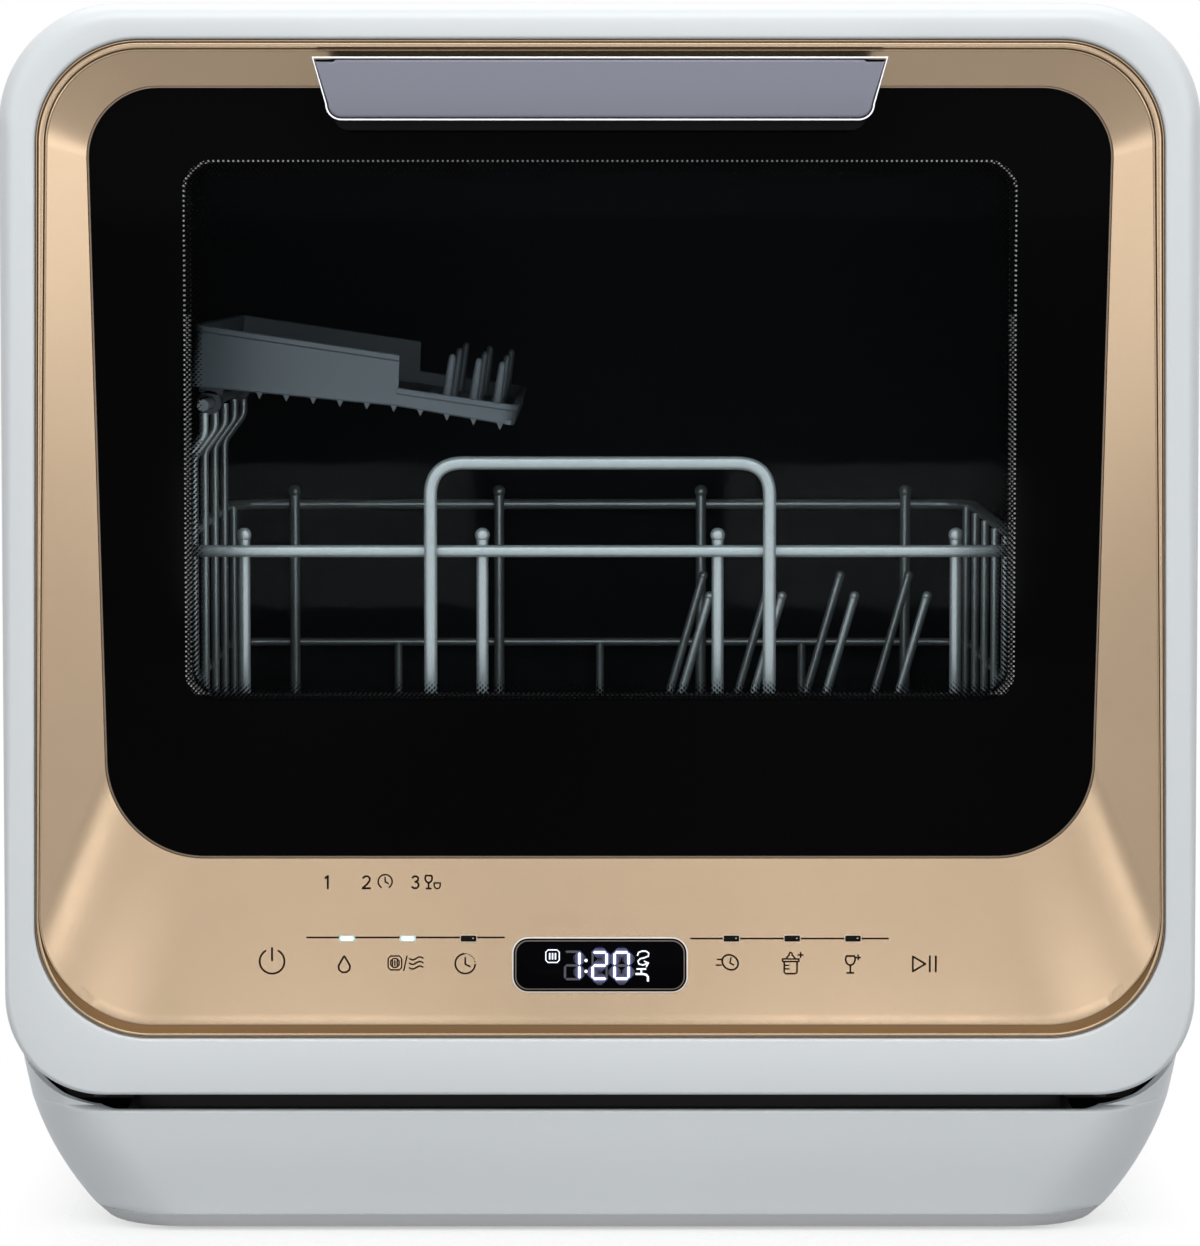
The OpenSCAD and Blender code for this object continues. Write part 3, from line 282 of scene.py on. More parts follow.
# -------- materials
class Term:
    """A value in a node tree that can be reckoned with."""

    def __init__(self, nodes, socket):
        self.nodes, self.socket = nodes, socket

    def do(self, op, *others, clamp=False):
        n = self.nodes.node("ShaderNodeMath", enumerate((self, *others)), operation=op, use_clamp=clamp)
        return Term(self.nodes, n.outputs[0])


# Python's own signs do the tree's arithmetic, and | takes the larger of two values
SIGNS = {"add": "ADD", "sub": "SUBTRACT", "mul": "MULTIPLY", "truediv": "DIVIDE", "mod": "MODULO", "or": "MAXIMUM",
         "lt": "LESS_THAN", "gt": "GREATER_THAN"}
for sign, op in SIGNS.items():
    setattr(Term, "__%s__" % sign, lambda self, v, op=op: self.do(op, v))
Term.__abs__ = lambda self: self.do("ABSOLUTE")


def length(a, b):
    return (a * a + b * b).do("SQRT")


class Nodes:
    """A small writer of shader nodes, for a material or the world."""

    def __init__(self, name, store=bpy.data.materials, out="ShaderNodeOutputMaterial"):
        self.owner = store.new(name)
        self.owner.use_nodes = True
        self.tree = self.owner.node_tree
        self.tree.nodes.clear()
        self.out = self.tree.nodes.new(out)
        self.place = None

    def node(self, kind, inputs=(), **props):
        """A node with its properties set, and its inputs, by name or number, set or joined."""
        n = self.tree.nodes.new(kind)
        for k, v in props.items():
            setattr(n, k, v)
        for key, v in dict(inputs).items():
            v, to = v.socket if isinstance(v, Term) else v, n.inputs[key]
            if isinstance(v, bpy.types.NodeSocket):
                self.tree.links.new(v, to)
            else:
                to.default_value = (*v, 1.0) if to.type == "RGBA" else v
        return n

    def xyz(self):
        if self.place is None:
            self.coord = self.node("ShaderNodeTexCoord").outputs["Object"]
            split = self.node("ShaderNodeSeparateXYZ", {0: self.coord})
            self.place = [Term(self, o) for o in split.outputs]
        return self.place

    def noise(self, scale, detail=3.0, rough=0.5, stretch=None):
        self.xyz()
        place = self.coord
        if stretch:
            place = self.node("ShaderNodeMapping", {"Vector": place, "Scale": stretch}).outputs[0]
        n = self.node("ShaderNodeTexNoise", {"Vector": place, "Scale": scale, "Detail": detail, "Roughness": rough})
        return Term(self, n.outputs["Fac"])

    def ramp(self, fac, *stops):
        n = self.node("ShaderNodeValToRGB", {0: fac})
        while len(n.color_ramp.elements) < len(stops):
            n.color_ramp.elements.new(0.5)
        for e, (pos, col) in zip(n.color_ramp.elements, stops):
            e.position = pos
            e.color = (*col, 1.0)
        return n.outputs["Color"]

    def varied(self, fac, color, vary):
        return self.ramp(fac, (0.3, mix_tint(color, 1 - vary)), (0.7, mix_tint(color, 1 + vary)))

    def span(self, fac, lo, hi):
        return self.node("ShaderNodeMapRange", {"Value": fac, "To Min": lo, "To Max": hi}).outputs[0]

    def bump(self, height, strength, distance):
        return self.node("ShaderNodeBump", {"Strength": strength, "Distance": distance, "Height": height}).outputs[0]

    def surface(self, color, rough, metal=0.0, **extra):
        values = {"Base Color": color, "Roughness": rough, "Metallic": metal, **extra}
        return self.node("ShaderNodeBsdfPrincipled", values).outputs[0]

    def mix(self, fac, a, b):
        return self.node("ShaderNodeMixShader", {0: fac, 1: a, 2: b}).outputs[0]

    def pane(self, tint, rough, ior, gain=None):
        """Thin clear glass: tinted see-through with a gloss that grows at grazing angles."""
        edge = Term(self, self.node("ShaderNodeFresnel", {"IOR": ior}).outputs[0])
        see = self.node("ShaderNodeBsdfTransparent", {0: tint})
        shine = self.node("ShaderNodeBsdfGlossy", {"Roughness": rough})
        return self.mix(edge * gain if gain else edge, see.outputs[0], shine.outputs[0])

    def done(self, shader):
        self.tree.links.new(shader, self.out.inputs["Surface"])
        return self.owner


def mix_tint(c, f):
    return tuple(min(1.0, x * f) for x in c)


def plastic(name, color, rough=0.35, vary=0.03, grain=900.0, grain_height=0.00002, strength=0.25, coat=0.0, gloss=0.5):
    """Moulded plastic: faint cloudiness, a fine grain and uneven gloss."""
    m = Nodes(name)
    col = m.varied(m.noise(9.0, 4.0), color, vary)
    fine = m.bump(m.noise(grain, 2.0), strength, grain_height)
    r = m.span(m.noise(35.0, 3.0), rough - 0.04, rough + 0.05)
    return m.done(m.surface(col, r, Normal=fine, **{"Coat Weight": coat, "Coat Roughness": 0.15,
                                                    "Specular IOR Level": gloss}))


def metal(name, color, rough=0.3, stretch=(1.0, 1.0, 60.0), scale=60.0, depth=0.00002, vary=0.08, metallic=1.0):
    """Brushed or satin metal, with its grain along the short axis of stretch."""
    m = Nodes(name)
    lines = m.noise(scale, 4.0, 0.6, stretch)
    r = m.span(lines, max(0.03, rough - 0.08), rough + 0.1)
    return m.done(m.surface(m.varied(lines, color, vary), r, metallic, Normal=m.bump(lines, 0.25, depth)))


def glow(name, color, strength):
    m = Nodes(name)
    vary = m.ramp(m.noise(900.0, 2.0), (0.2, mix_tint(color, 0.9)), (0.8, color))
    return m.done(m.surface((0.02, 0.02, 0.02), 0.3, **{"Emission Color": vary, "Emission Strength": strength}))


WHITE = plastic("white_plastic", (0.72, 0.75, 0.765), 0.34, 0.012, 1400.0, 0.00001, 0.15)
SKIRT = plastic("skirt_plastic", (0.50, 0.51, 0.52), 0.42, 0.02)
BACK = plastic("back_plastic", (0.62, 0.635, 0.645), 0.45, 0.02, 700.0, 0.00004, 0.4)
CAP = plastic("cap_plastic", (0.66, 0.69, 0.705), 0.34, 0.012)
BLACK = plastic("black_plastic", (0.004, 0.004, 0.005), 0.4, 0.2, 800.0, 0.00003, 0.3, gloss=0.05)
# Near-black steel for the hinges in the gap under the door: painted shade.
SHADED_STEEL = metal("steel_painted_shade", (0.035, 0.035, 0.04), 0.4)
RUBBER = plastic("rubber", (0.02, 0.02, 0.02), 0.75, 0.15, 400.0, 0.00006, 0.5)
TUB = plastic("tub_plastic", (0.012, 0.012, 0.0135), 0.6, 0.10, 500.0, 0.00003, 0.3, gloss=0.03)
LINER = plastic("liner_plastic", (0.02, 0.02, 0.022), 0.4, 0.1, 500.0, 0.00003, 0.3, gloss=0.3)
FILTER = plastic("filter_plastic", (0.07, 0.075, 0.085), 0.45, 0.1)
PUMP = plastic("pump_plastic", (0.06, 0.065, 0.075), 0.5, 0.12)
HOSE = plastic("hose_rubber", (0.03, 0.03, 0.03), 0.6, 0.1)
TANK = plastic("tank_plastic", (0.62, 0.68, 0.72), 0.4, 0.03)
BOARD = plastic("board_green", (0.01, 0.09, 0.03), 0.35, 0.25, 300.0, 0.00005, 0.4)
BUSH = plastic("bush_plastic", (0.7, 0.66, 0.55), 0.45, 0.05)
RACK = plastic("rack_plastic", (0.085, 0.097, 0.108), 0.42, 0.05, 600.0, 0.00003, 0.3)
ARM = plastic("arm_plastic", (0.22, 0.25, 0.29), 0.4, 0.05)
WIRE = metal("wire_coating", (0.42, 0.44, 0.44), 0.34, (1, 1, 1), 500.0, 0.00001, 0.06, metallic=0.6)
STEEL = metal("steel", (0.55, 0.55, 0.56), 0.32)
SCREW = metal("screw_steel", (0.5, 0.5, 0.5), 0.35, (1, 1, 1), 900.0)
CHROME = metal("bright_trim", (0.86, 0.87, 0.9), 0.22, (1, 1, 1), 200.0, 0.000005, 0.03, metallic=0.5)
HANDLE = metal("handle_metal", (0.165, 0.17, 0.21), 0.4, (90.0, 1.0, 1.0), 30.0, 0.000004, 0.015, metallic=0.45)


def gold_paint():
    """Satin metallic paint: fine flakes, faint large clouds."""
    m = Nodes("gold_paint")
    m.xyz()
    flake = m.node("ShaderNodeTexVoronoi", {"Vector": m.coord, "Scale": 5200.0})
    bright = Term(m, m.node("ShaderNodeSeparateColor", {0: flake.outputs["Color"]}).outputs[0])
    col = m.ramp(bright * 0.22 + m.noise(7.0, 3.0) * 0.78, (0.25, (0.315, 0.228, 0.146)), (0.75, (0.375, 0.272, 0.177)))
    rough = m.span(m.noise(120.0, 2.0), 0.18, 0.22)
    return m.done(m.surface(col, rough, 0.75, Normal=m.bump(bright, 0.12, 0.00001),
                            **{"Coat Weight": 0.25, "Coat Roughness": 0.2}))


def clear_glass(name, tint, rough=0.01, gain=0.015):
    m = Nodes(name)
    return m.done(m.pane(tint, m.span(m.noise(14.0, 4.0), rough, rough + 0.02), 1.45, gain))


def door_glass():
    """Black printed glass with a clear window, edged by staggered print dots."""
    m = Nodes("door_glass")
    x, _, z = m.xyz()
    px, pz = x * 1000.0, z * 1000.0
    up = pz - (WINDOW_Z + LIFT)
    ax, az = abs(px), abs(up)
    # Distance out of the window's rounded border, below 0 inside it
    qx, qz = (ax - (WINDOW_W - WINDOW_R)) | 0.0, (az - (WINDOW_H - WINDOW_R)) | 0.0
    d = (length(qx, qz) - WINDOW_R) | ((ax - WINDOW_W) | (az - WINDOW_H))
    # Staggered dots that shrink inwards
    pitch, band = 1.8, 6.4
    row = pz / (pitch / 2)
    cu = px / pitch + (row.do("FLOOR") % 2.0) * 0.5
    du = ((cu + 1000.0).do("FRACT") - 0.5) * pitch
    dv = (row.do("FRACT") - 0.5) * (pitch / 2)
    printed = (d > 0.0) | (length(du, dv) < d * 0.075 + 0.62) * (d > -band)
    # Pale dots on the border of the window, as painted light: they stand for the lit inside seen through clear gaps in
    # the print; one row, and two fainter ones lower down the sides
    u, v = px / (WINDOW_W / 167), up / (WINDOW_H / 109)
    iu, iv = u.do("ROUND"), v.do("ROUND")
    eu, ev = u - iu, v - iv
    spots = (abs((iu + iv) % 2.0) < 0.5) * (eu * eu + ev * ev < 0.16)
    more = (abs(d + 1.3) < 0.9) * (pz < 322.0 + LIFT)
    pale = spots * (((abs(d) < 0.5) | more * 0.45) * (pz > 188.0 + LIFT))
    # The pale end of this ramp is that painted light.
    tone = m.ramp(m.noise(6.0, 3.0) * 0.1 + pale * 0.9, (0.03, (0.0012, 0.0012, 0.0013)),
                  (0.07, (0.0018, 0.0018, 0.002)), (0.95, (0.34, 0.34, 0.33)))
    black = m.surface(tone, m.span(m.noise(18.0, 3.0), 0.03, 0.07), **{"Specular IOR Level": 0.012})
    return m.done(m.mix(printed | (pale > 0.1), m.pane((0.80, 0.83, 0.85), 0.015, 1.04), black))


GOLD = gold_paint()
DOOR_GLASS = door_glass()
CLEAR = clear_glass("inner_glass", (0.93, 0.95, 0.95))
LIT = glow("led_lit", (0.75, 0.97, 1.0), 2.2)
DARK_LED = plastic("led_dark", (0.006, 0.004, 0.004), 0.25, 0.1, gloss=0.05)
PRINT = plastic("panel_print", (0.010, 0.006, 0.004), 0.8, 0.1, gloss=0.02)
DIGITS = glow("display_digits", (0.83, 0.88, 1.0), 1.6)
HALO = plastic("display_black", (0.0012, 0.0012, 0.0018), 0.2, 0.1, gloss=0.008)
EDGE = metal("glass_edge", (0.17, 0.13, 0.10), 0.3, (1, 1, 1), 200.0, 0.000005, 0.05)
# Near-black for the parts seen in the gap under the door: the gap's shade painted into their colour.
GAP_SHADE = plastic("gap_painted_shade", (0.02, 0.019, 0.022), 0.5, 0.1)
SHADE = plastic("gold_shadow", (0.20, 0.11, 0.042), 0.55, 0.1, gloss=0.2)


# -------- door: white frame and gold fascia
def between(p, q, u, t=0.0, y=0.0):
    """A point u mm from p towards q, and the share t of the rest of the way."""
    d = math.hypot(q[0] - p[0], q[1] - p[1])
    s = (u + t * (d - u)) / d
    return (p[0] + (q[0] - p[0]) * s, y, p[1] + (q[1] - p[1]) * s)


def profile_at(p, q, profile):
    """A profile of (mm from p towards q, mm behind the door's front) as points."""
    return [between(p, q, u, y=FRONT + y) for u, y in profile]


def edge_r(z):
    """Radius of the door's outer edge, which tightens at the bottom."""
    return 2 + 7 * min(1.0, max(0.0, (z - 56) / 44))


def build_door_frame():
    turn = [QUARTER * k / 10 for k in range(11)]
    out, into = [], []
    for p, q in zip(outline_of(DOOR), outline_of(FASCIA, GAP)):
        r, w = edge_r(p[1]), math.hypot(q[0] - p[0], q[1] - p[1])
        round_out = [(r * (1 - math.cos(a)), r * (1 - math.sin(a))) for a in turn]
        round_in = [(max(WALL, u), WALL + max(r - WALL, 0.1) * (1 - math.sin(a))) for (u, _), a in zip(round_out, turn)]
        lip_out = [(w - 1.6, 0), (w - 0.9, 0.15), (w - 0.35, 0.6), (w, 1.6), (w, 5.8), (w + 3, 5.8)]
        lip_in = [(w - 2.6, WALL), (w - 2.4, 2.8), (w - 2.2, 3), (w - 2.1, 4), (w - 2, 7.6), (w + 3, 7.6)]
        out.append(profile_at(p, q, [(0, DOOR_BACK - FRONT)] + round_out + lip_out))
        into.append(profile_at(p, q, [(WALL, DOOR_BACK - FRONT)] + round_in + lip_in))
    obj = skin("door_shell", out, into, "door", WHITE, slot="white_plastic", replaces=("door_frame",))
    for s in (-177, 177):
        cut(obj, s - 7.4, s + 7.4, -203, -162, 31.5, 61.5, 0.2)


# Rim of the fascia from its edge inwards, as (inset, depth): first up the sides and over the top, then along the bottom
TURN = [math.pi * k / 8 for k in range(9)]
RIM = (
    [((0, 5.6), (0, 5.6)), ((0, 0.5), (0, 0.9)), ((0.3, 0.5), (0.15, 0.9)), ((0.35, 1.6), (0.2, 1.3)),
     ((0.75, 1.6), (0.45, 1.3))]
    + [((1.85 - math.cos(a), 0.6 - 0.36 * math.sin(a)), (1 - 0.5 * math.cos(a), 0.5 - 0.5 * math.sin(a))) for a in TURN]
    + [((2.9, 1.8), (1.6, 0.7)), ((3.15, 1.8), (4.0, 2.6)), ((3.2, 1.0), (4.05, 2.5)), ((3.35, 0.72), (4.25, 2.42)),
       ((3.8, 0.8), (4.5, 2.4))]
)


def build_fascia():
    steps, thick, out, into = 16, 1.8, [], []
    for p, q in zip(outline_of(FASCIA), outline_of(GLASS)):
        low = max(0.0, min(1.0, (104 - p[1]) / 30))
        low = low * low * (3 - 2 * low)
        slope = [between(p, q, 3.9 + 0.7 * low, k / steps, PANEL_LOW_Y + k / steps * (PANEL_TOP_Y - PANEL_LOW_Y))
                 for k in range(steps + 1)]
        rim = [[i * (1 - low) + j * low for i, j in zip(a, b)] for a, b in RIM]
        back = [(thick, 5.6)] + [(thick + 0.02 * k, 4.6 - 0.02 * k) for k in range(1, len(RIM))]
        out.append(profile_at(p, q, rim) + slope)
        into.append(profile_at(p, q, back) + [(x, y + thick, z) for x, y, z in slope])
    obj = skin("fascia_shell", out, into, "door", GOLD, slot="gold_paint", replaces=("fascia",))
    obj.data.materials.append(SHADE)
    row = 2 * len(out[0])
    for poly in obj.data.polygons:
        if {v % row for v in poly.vertices} in ({3, 4}, {14, 15}):
            poly.material_index = 1


def ring(name, outer, inner, y0, y1, body, material, **kw):
    """A flat ring between two outlines of as many points, with soft front edges."""
    ys = (y1, y0 + min(0.12, (y1 - y0) * 0.3), y0)
    out, into = ([[between(p, q, 0, t, y) for t, y in zip(ts, ys)] for p, q in zip(outer, inner)]
                 for ts in ((0, 0, 0.12), (1, 1, 0.88)))
    return skin(name, out, into, body, material, **kw)


build_door_frame()
build_fascia()
ring("glass_rim", outline_of(GLASS, -0.02), outline_of(GLASS, -0.75), GLASS_Y - 0.22, GLASS_Y + 0.3, "door", EDGE,
     smooth=30)


# -------- cabinet shells
def hull_rows(section, profile):
    """Rows along a profile of (inset, y), one for each point of the section at that inset."""
    nets = [section(inset) for inset, y in profile]
    return [[(x, y, z) for (x, z), (_, y) in zip(across, profile)] for across in zip(*nets)]


def shell(name, section, outer, inner, **kw):
    rows = (hull_rows(section, profile) for profile in (outer, inner))
    return skin(name, *rows, "cabinet", WHITE, slot="white_plastic", **kw)


def open_shell(name, section, soft, node):
    """A wall from the flange to the rear frame, softened by soft mm at its front."""
    outer = [(soft, FLANGE), (0, FLANGE + soft), (0, CASING_END - 0.3), (0.3, CASING_END)]
    return shell(name, section, outer, [(WALL, y) for _, y in outer], closed_u=False, replaces=(node,))


def casing_section(inset):
    x = HALF_W - inset
    return [(x, SEAM_Z), (x, BILGE_Z)] + roof(inset) + [(-x, BILGE_Z), (-x, SEAM_Z)]


def tray_section(inset):
    r = BILGE_R - inset
    a0 = math.degrees(math.asin((BILGE_Z - BASE_Z - inset) / r))
    a1 = math.degrees(math.asin((BILGE_Z - SEAM_Z + GAP) / r))
    cx = HALF_W - BILGE_R
    return arc(cx, BILGE_Z, r, -a1, -a0, 20) + arc(-cx, BILGE_Z, r, 180 + a0, 180 + a1, 20)


casing = open_shell("casing_shell", casing_section, 0.5, "casing")
cut(casing, 67.6, 152.4, 152.1, 184.4, 420, 433, 7.4)
cut(casing, 88.6, 131.4, 183, 186.8, 420, 433, 0.3)
open_shell("base_shell", tray_section, 0.4, "base_tray")
REAR_R = 10
turn = [math.radians(a) for a in range(9, 91, 9)]
edge, inner_edge = (
    [(u0, CASING_END), (u1, CASING_END + 0.4), (u1, REAR - REAR_R)]
    + [(REAR_R - r * math.cos(a), REAR - REAR_R + r * math.sin(a)) for a in turn]
    + [(15, REAR - REAR_R + r)]
    for u0, u1, r in ((0.3, 0, REAR_R), (WALL, WALL, REAR_R - WALL))
)
shell("rear_shell", cabinet_outline, edge, inner_edge, replaces=("rear_frame",))

# Kick panel under the door: level lip in the middle, swept up to a point at each end
KICK_FLAT, KICK_TOP, KICK_R, LIP_Y = 171.0, 41.0, 34.0, -194.0


def kick_top(x):
    over = (abs(x) - KICK_FLAT) / 35
    if over <= 0:
        return KICK_TOP
    if over >= 0.99:
        return SEAM_Z - GAP
    return min(SEAM_Z - GAP, KICK_TOP + 21.4 * (1 - math.sqrt(1 - over * over)))


def kick_front(z):
    return FRONT + 4.5 + 0.005 * max(0, 48 - z) ** 2


def kick_row(x0, a, inset):
    """One upright row of the kick panel, a degrees round its corner."""
    c, s = math.cos(math.radians(a)), math.sin(math.radians(a))
    top = kick_top(x0 + KICK_R * c)
    swept = min(1.0, max(0.0, (top - KICK_TOP) / 0.8))

    def place(z, deep):
        y = FLANGE - (FLANGE - kick_front(z) - inset) * s
        y += deep * max(0.8 * s, swept * (LIP_Y + inset - y))
        return (side_x(z) - side_x(50) + x0 + (KICK_R - inset) * c, y, z)

    low = KICK_TOP - 0.8
    turn = [QUARTER * k / 6 for k in range(1, 7)]
    return ([place(BASE_Z + (low - BASE_Z) * k / 12, 0) for k in range(13)]
            + [place(low + (0.8 + swept) * math.sin(a), 1 - math.cos(a)) for a in turn]
            + [place(max(top, KICK_TOP + swept + 0.05), 1)])


def kick_rows(inset):
    corner = side_x(50) - KICK_R
    half = [kick_row(corner, 3 * i, inset) for i in range(31)] + [kick_row(x, 90, inset) for x in (KICK_FLAT - 4, 60)]
    return [[(-x, y, z) for x, y, z in row] for row in half] + half[::-1]


skin("kick_shell", kick_rows(0), kick_rows(WALL), "cabinet", WHITE, closed_u=False, slot="white_plastic",
     replaces=("kick_panel",))

# Closing pieces behind the ends of the gap under the door, near-black as painted shade of the gap
for side, word in ((-1, "left"), (1, "right")):
    xs = [166 + 2.0 * k for k in range(20)]
    rise = [DOOR_LOW_R - math.sqrt(max(0.0, DOOR_LOW_R**2 - (x - HALF_W + DOOR_LOW_R) ** 2)) for x in xs]
    top = [(side * x, max(KICK_TOP + 2, DOOR_LOW + 3 + r)) for x, r in zip(xs, rise)]
    low = [(side * x, 39 + 0.9 * max(0.0, x - 190)) for x in reversed(xs)]
    prism("channel_end_" + word, (low + top)[::side], FLANGE - 0.9, FLANGE - 0.1, "cabinet", GAP_SHADE, smooth=30)

# -------- handle
HANDLE_Y = FRONT - 12.5


def handle_outline(grow, step=0.0):
    """The plate's outline; step is how much its ends lie below the middle of its top edge."""
    r, top, low = 5.6 + grow, 411.5 + grow, 389.6 - grow
    ht, hl = 99.4 + grow, 94.8 + grow
    middle = [(92.0, top - step), (91.0, top), (-91.0, top), (-92.0, top - step)] if step else []
    return ([(ht, top - step)] + middle + [(-ht, top - step)]
            + arc(r - hl, low + r, r, 180, 270, 12) + arc(hl - r, low + r, r, 270, 360, 12))


prism("handle_face", handle_outline(-1.0, 0.7), HANDLE_Y, HANDLE_Y + 4.6, "door", HANDLE, bevel=0.9,
      slot="handle_metal", replaces=("handle_plate",), smooth=35)
ring("handle_edge", handle_outline(0), handle_outline(-0.62), HANDLE_Y + 0.6, HANDLE_Y + 5, "door", CHROME,
     slot="handle_chrome", replaces=("handle_trim",), smooth=30)


# -------- control panel print, lamps and display
def panel_y(z):
    return PANEL_LOW_Y + (z - PANEL_LOW_Z) * math.tan(PANEL_TILT)


NORMAL = (-math.cos(PANEL_TILT), math.sin(PANEL_TILT))


def on_panel(x, z, out=0.0):
    """A point of the sloping panel in mm, raised out of it."""
    return (x, panel_y(z) + out * NORMAL[0], z + out * NORMAL[1])


def spot(px, pz):
    """A place on the panel from the drawing grid, 1 unit = 0.3512 mm at the door's front plane."""
    unit = 0.3512
    for _ in range(3):
        x, z = (px - 600) * unit, 351.9 - (pz - 230) * unit
        unit = 0.3512 * (1 + (panel_y(z) - FRONT) / 1650)
    return x, z


class Ink:
    """Thin raised print on the panel, drawn with strokes and filled shapes on the drawing grid."""

    def __init__(self, lift=0.05, bold=1.55):
        self.verts, self.faces, self.lift, self.bold = [], [], lift, bold

    def shape(self, pts):
        n, base = len(pts), len(self.verts)
        area = sum(pts[i - 1][0] * pts[i][1] - pts[i][0] * pts[i - 1][1] for i in range(n))
        flat = [spot(*p) for p in (pts[::-1] if area > 0 else pts)]
        self.verts += [on_panel(x, z, out) for out in (self.lift, -0.03) for x, z in flat]
        self.faces += [tuple(range(base, base + n)), tuple(reversed(range(base + n, base + 2 * n)))]
        for i in range(n):
            a, b = base + i, base + (i + 1) % n
            self.faces.append((a, a + n, b + n, b))

    def stroke(self, pts, w=1.15, closed=False):
        """Straight strokes from point to point, each a little longer than its line."""
        w = w * self.bold
        for (x0, z0), (x1, z1) in zip(pts, pts[1:] + pts[:1] if closed else pts[1:]):
            length = math.hypot(x1 - x0, z1 - z0) or 1.0
            ux, uz = (x1 - x0) / length, (z1 - z0) / length
            e, nx, nz = w * 0.3, -uz * w / 2, ux * w / 2
            ax, az, bx, bz = x0 - ux * e, z0 - uz * e, x1 + ux * e, z1 + uz * e
            self.shape([(ax + nx, az + nz), (bx + nx, bz + nz), (bx - nx, bz - nz), (ax - nx, az - nz)])

    def line(self, x0, z0, x1, z1, w=1.15):
        self.stroke([(x0, z0), (x1, z1)], w)

    def band(self, pts, w=1.15, closed=False):
        """A smooth curved stroke as one joined strip."""
        n, w = len(pts), w * self.bold
        sides = []
        for i, (x, z) in enumerate(pts):
            p = pts[i - 1] if (i or closed) else pts[0]
            q = pts[(i + 1) % n] if (i < n - 1 or closed) else pts[-1]
            length = math.hypot(q[0] - p[0], q[1] - p[1]) or 1.0
            nx, nz = -(q[1] - p[1]) / length * w / 2, (q[0] - p[0]) / length * w / 2
            sides.append(((x + nx, z + nz), (x - nx, z - nz)))
        for (a, b), (c, d) in zip(sides, sides[1:] + sides[:1] if closed else sides[1:]):
            self.shape([a, c, d, b])

    def circle(self, cx, cz, r, a0=0, a1=360, w=1.15, n=32):
        pts = arc(cx, cz, r, -a0, -a1, n)
        closed = a1 - a0 == 360
        self.band(pts[:-1] if closed else pts, w, closed)

    def disc(self, cx, cz, r, n=8):
        self.shape(full_circle(cx, cz, r, n))

    def digit(self, d, x, z, w, h, t=2.2, gap=0.35):
        """A seven-bar number with its top left corner at x, z."""
        m, low, right = z + h / 2, z + h, x + w
        bars = {"a": (x, z, right, z), "g": (x, m, right, m), "d": (x, low, right, low), "f": (x, z, x, m),
                "b": (right, z, right, m), "e": (x, m, x, low), "c": (right, m, right, low)}
        e = gap + t / 2
        for k in {"0": "abcdef", "1": "bc", "2": "abged"}[d]:
            x0, z0, x1, z1 = bars[k]
            if z0 == z1:
                self.shape([(x0 + gap, z0), (x0 + e, z0 - t / 2), (x1 - e, z0 - t / 2), (x1 - gap, z0),
                            (x1 - e, z0 + t / 2), (x0 + e, z0 + t / 2)])
            else:
                self.shape([(x0, z0 + gap), (x0 + t / 2, z0 + e), (x0 + t / 2, z1 - e), (x0, z1 - gap),
                            (x0 - t / 2, z1 - e), (x0 - t / 2, z0 + e)])

    def build(self, name, material, **kw):
        return finish_mesh(name, raw_mesh(name, self.verts, self.faces), "door", material, smooth=0, **kw)


def wine_glass(ink, x, z, w, h):
    """Bowl, stem and foot in a box whose top left corner is x, z."""
    cx, left, right = x + w / 2, x + w * 0.08, x + w * 0.92
    bowl = [(cx + w / 2 * math.cos(a), z + h * 0.18 + h * 0.36 * math.sin(a)) for a in
            (math.pi * k / 15 for k in range(16))]
    ink.band([(right, z)] + bowl + [(left, z)])
    ink.line(left, z, right, z)
    ink.line(cx, z + h * 0.54, cx, z + h)
    ink.line(x + w * 0.15, z + h, x + w * 0.85, z + h)


def plus(ink, cx, cz, r=2.6):
    ink.line(cx - r, cz, cx + r, cz, 1.0)
    ink.line(cx, cz - r, cx, cz + r, 1.0)


def cut_corners(x0, x1, z0, z1, r):
    return [(x1 - r, z0), (x1, z0 + r), (x1, z1 - r), (x1 - r, z1),
            (x0 + r, z1), (x0, z1 - r), (x0, z0 + r), (x0 + r, z0)]


ink = Ink()
# Programme numbers over the left lamps
ink.stroke([(325.0, 877.5), (327.6, 875.4), (327.6, 888)], 1.3)
ink.band([(362.5, 877.8), (364.5, 875.8), (367.5, 875.6), (369.6, 877.4),
          (369.4, 880.4), (366.6, 884), (362.3, 887.6)], 1.3)
ink.line(362.3, 887.8, 370, 887.8, 1.3)
ink.circle(385, 881, 7.0, -60, 240, 1.0)
ink.stroke([(385, 876.8), (385, 881.2), (388.2, 883)], 1.0)
ink.band([(411.9, 877.6), (413.8, 875.8), (416.3, 875.7), (418, 877.2),
          (418, 879.4), (416.2, 881.1), (414.4, 881.3)], 1.3)
ink.band([(414.4, 881.3), (416.8, 881.6), (418.4, 883.3),
          (418.3, 885.8), (416.5, 887.6), (413.6, 887.7), (411.5, 886)], 1.3)
wine_glass(ink, 425, 875, 7, 13)
ink.band([(434, 882.4), (434.2, 886), (436, 888), (438.4, 888), (440, 886), (440.2, 882.4)], 1.0)
ink.line(434, 882.4, 440.2, 882.4, 1.0)
# Lines under the lamps
ink.line(306.5, 937.3, 504, 937.3, 1.1)
ink.line(691, 938.4, 888.6, 938.4, 1.1)
# Power
ink.circle(271.5, 961.4, 12.4, 118, 422, 1.25, 40)
ink.line(271.5, 947.8, 271.5, 960.4, 1.3)
# Water drop for the programme choice
drop = [(347.2, 961.6), (349.6, 966.2), (348.8, 970.2), (345.8, 972.4)]
ink.band([(343.8, 955.8)] + drop + [(687.6 - x, z) for x, z in drop[::-1]] + [(343.8, 955.8)], 1.25)
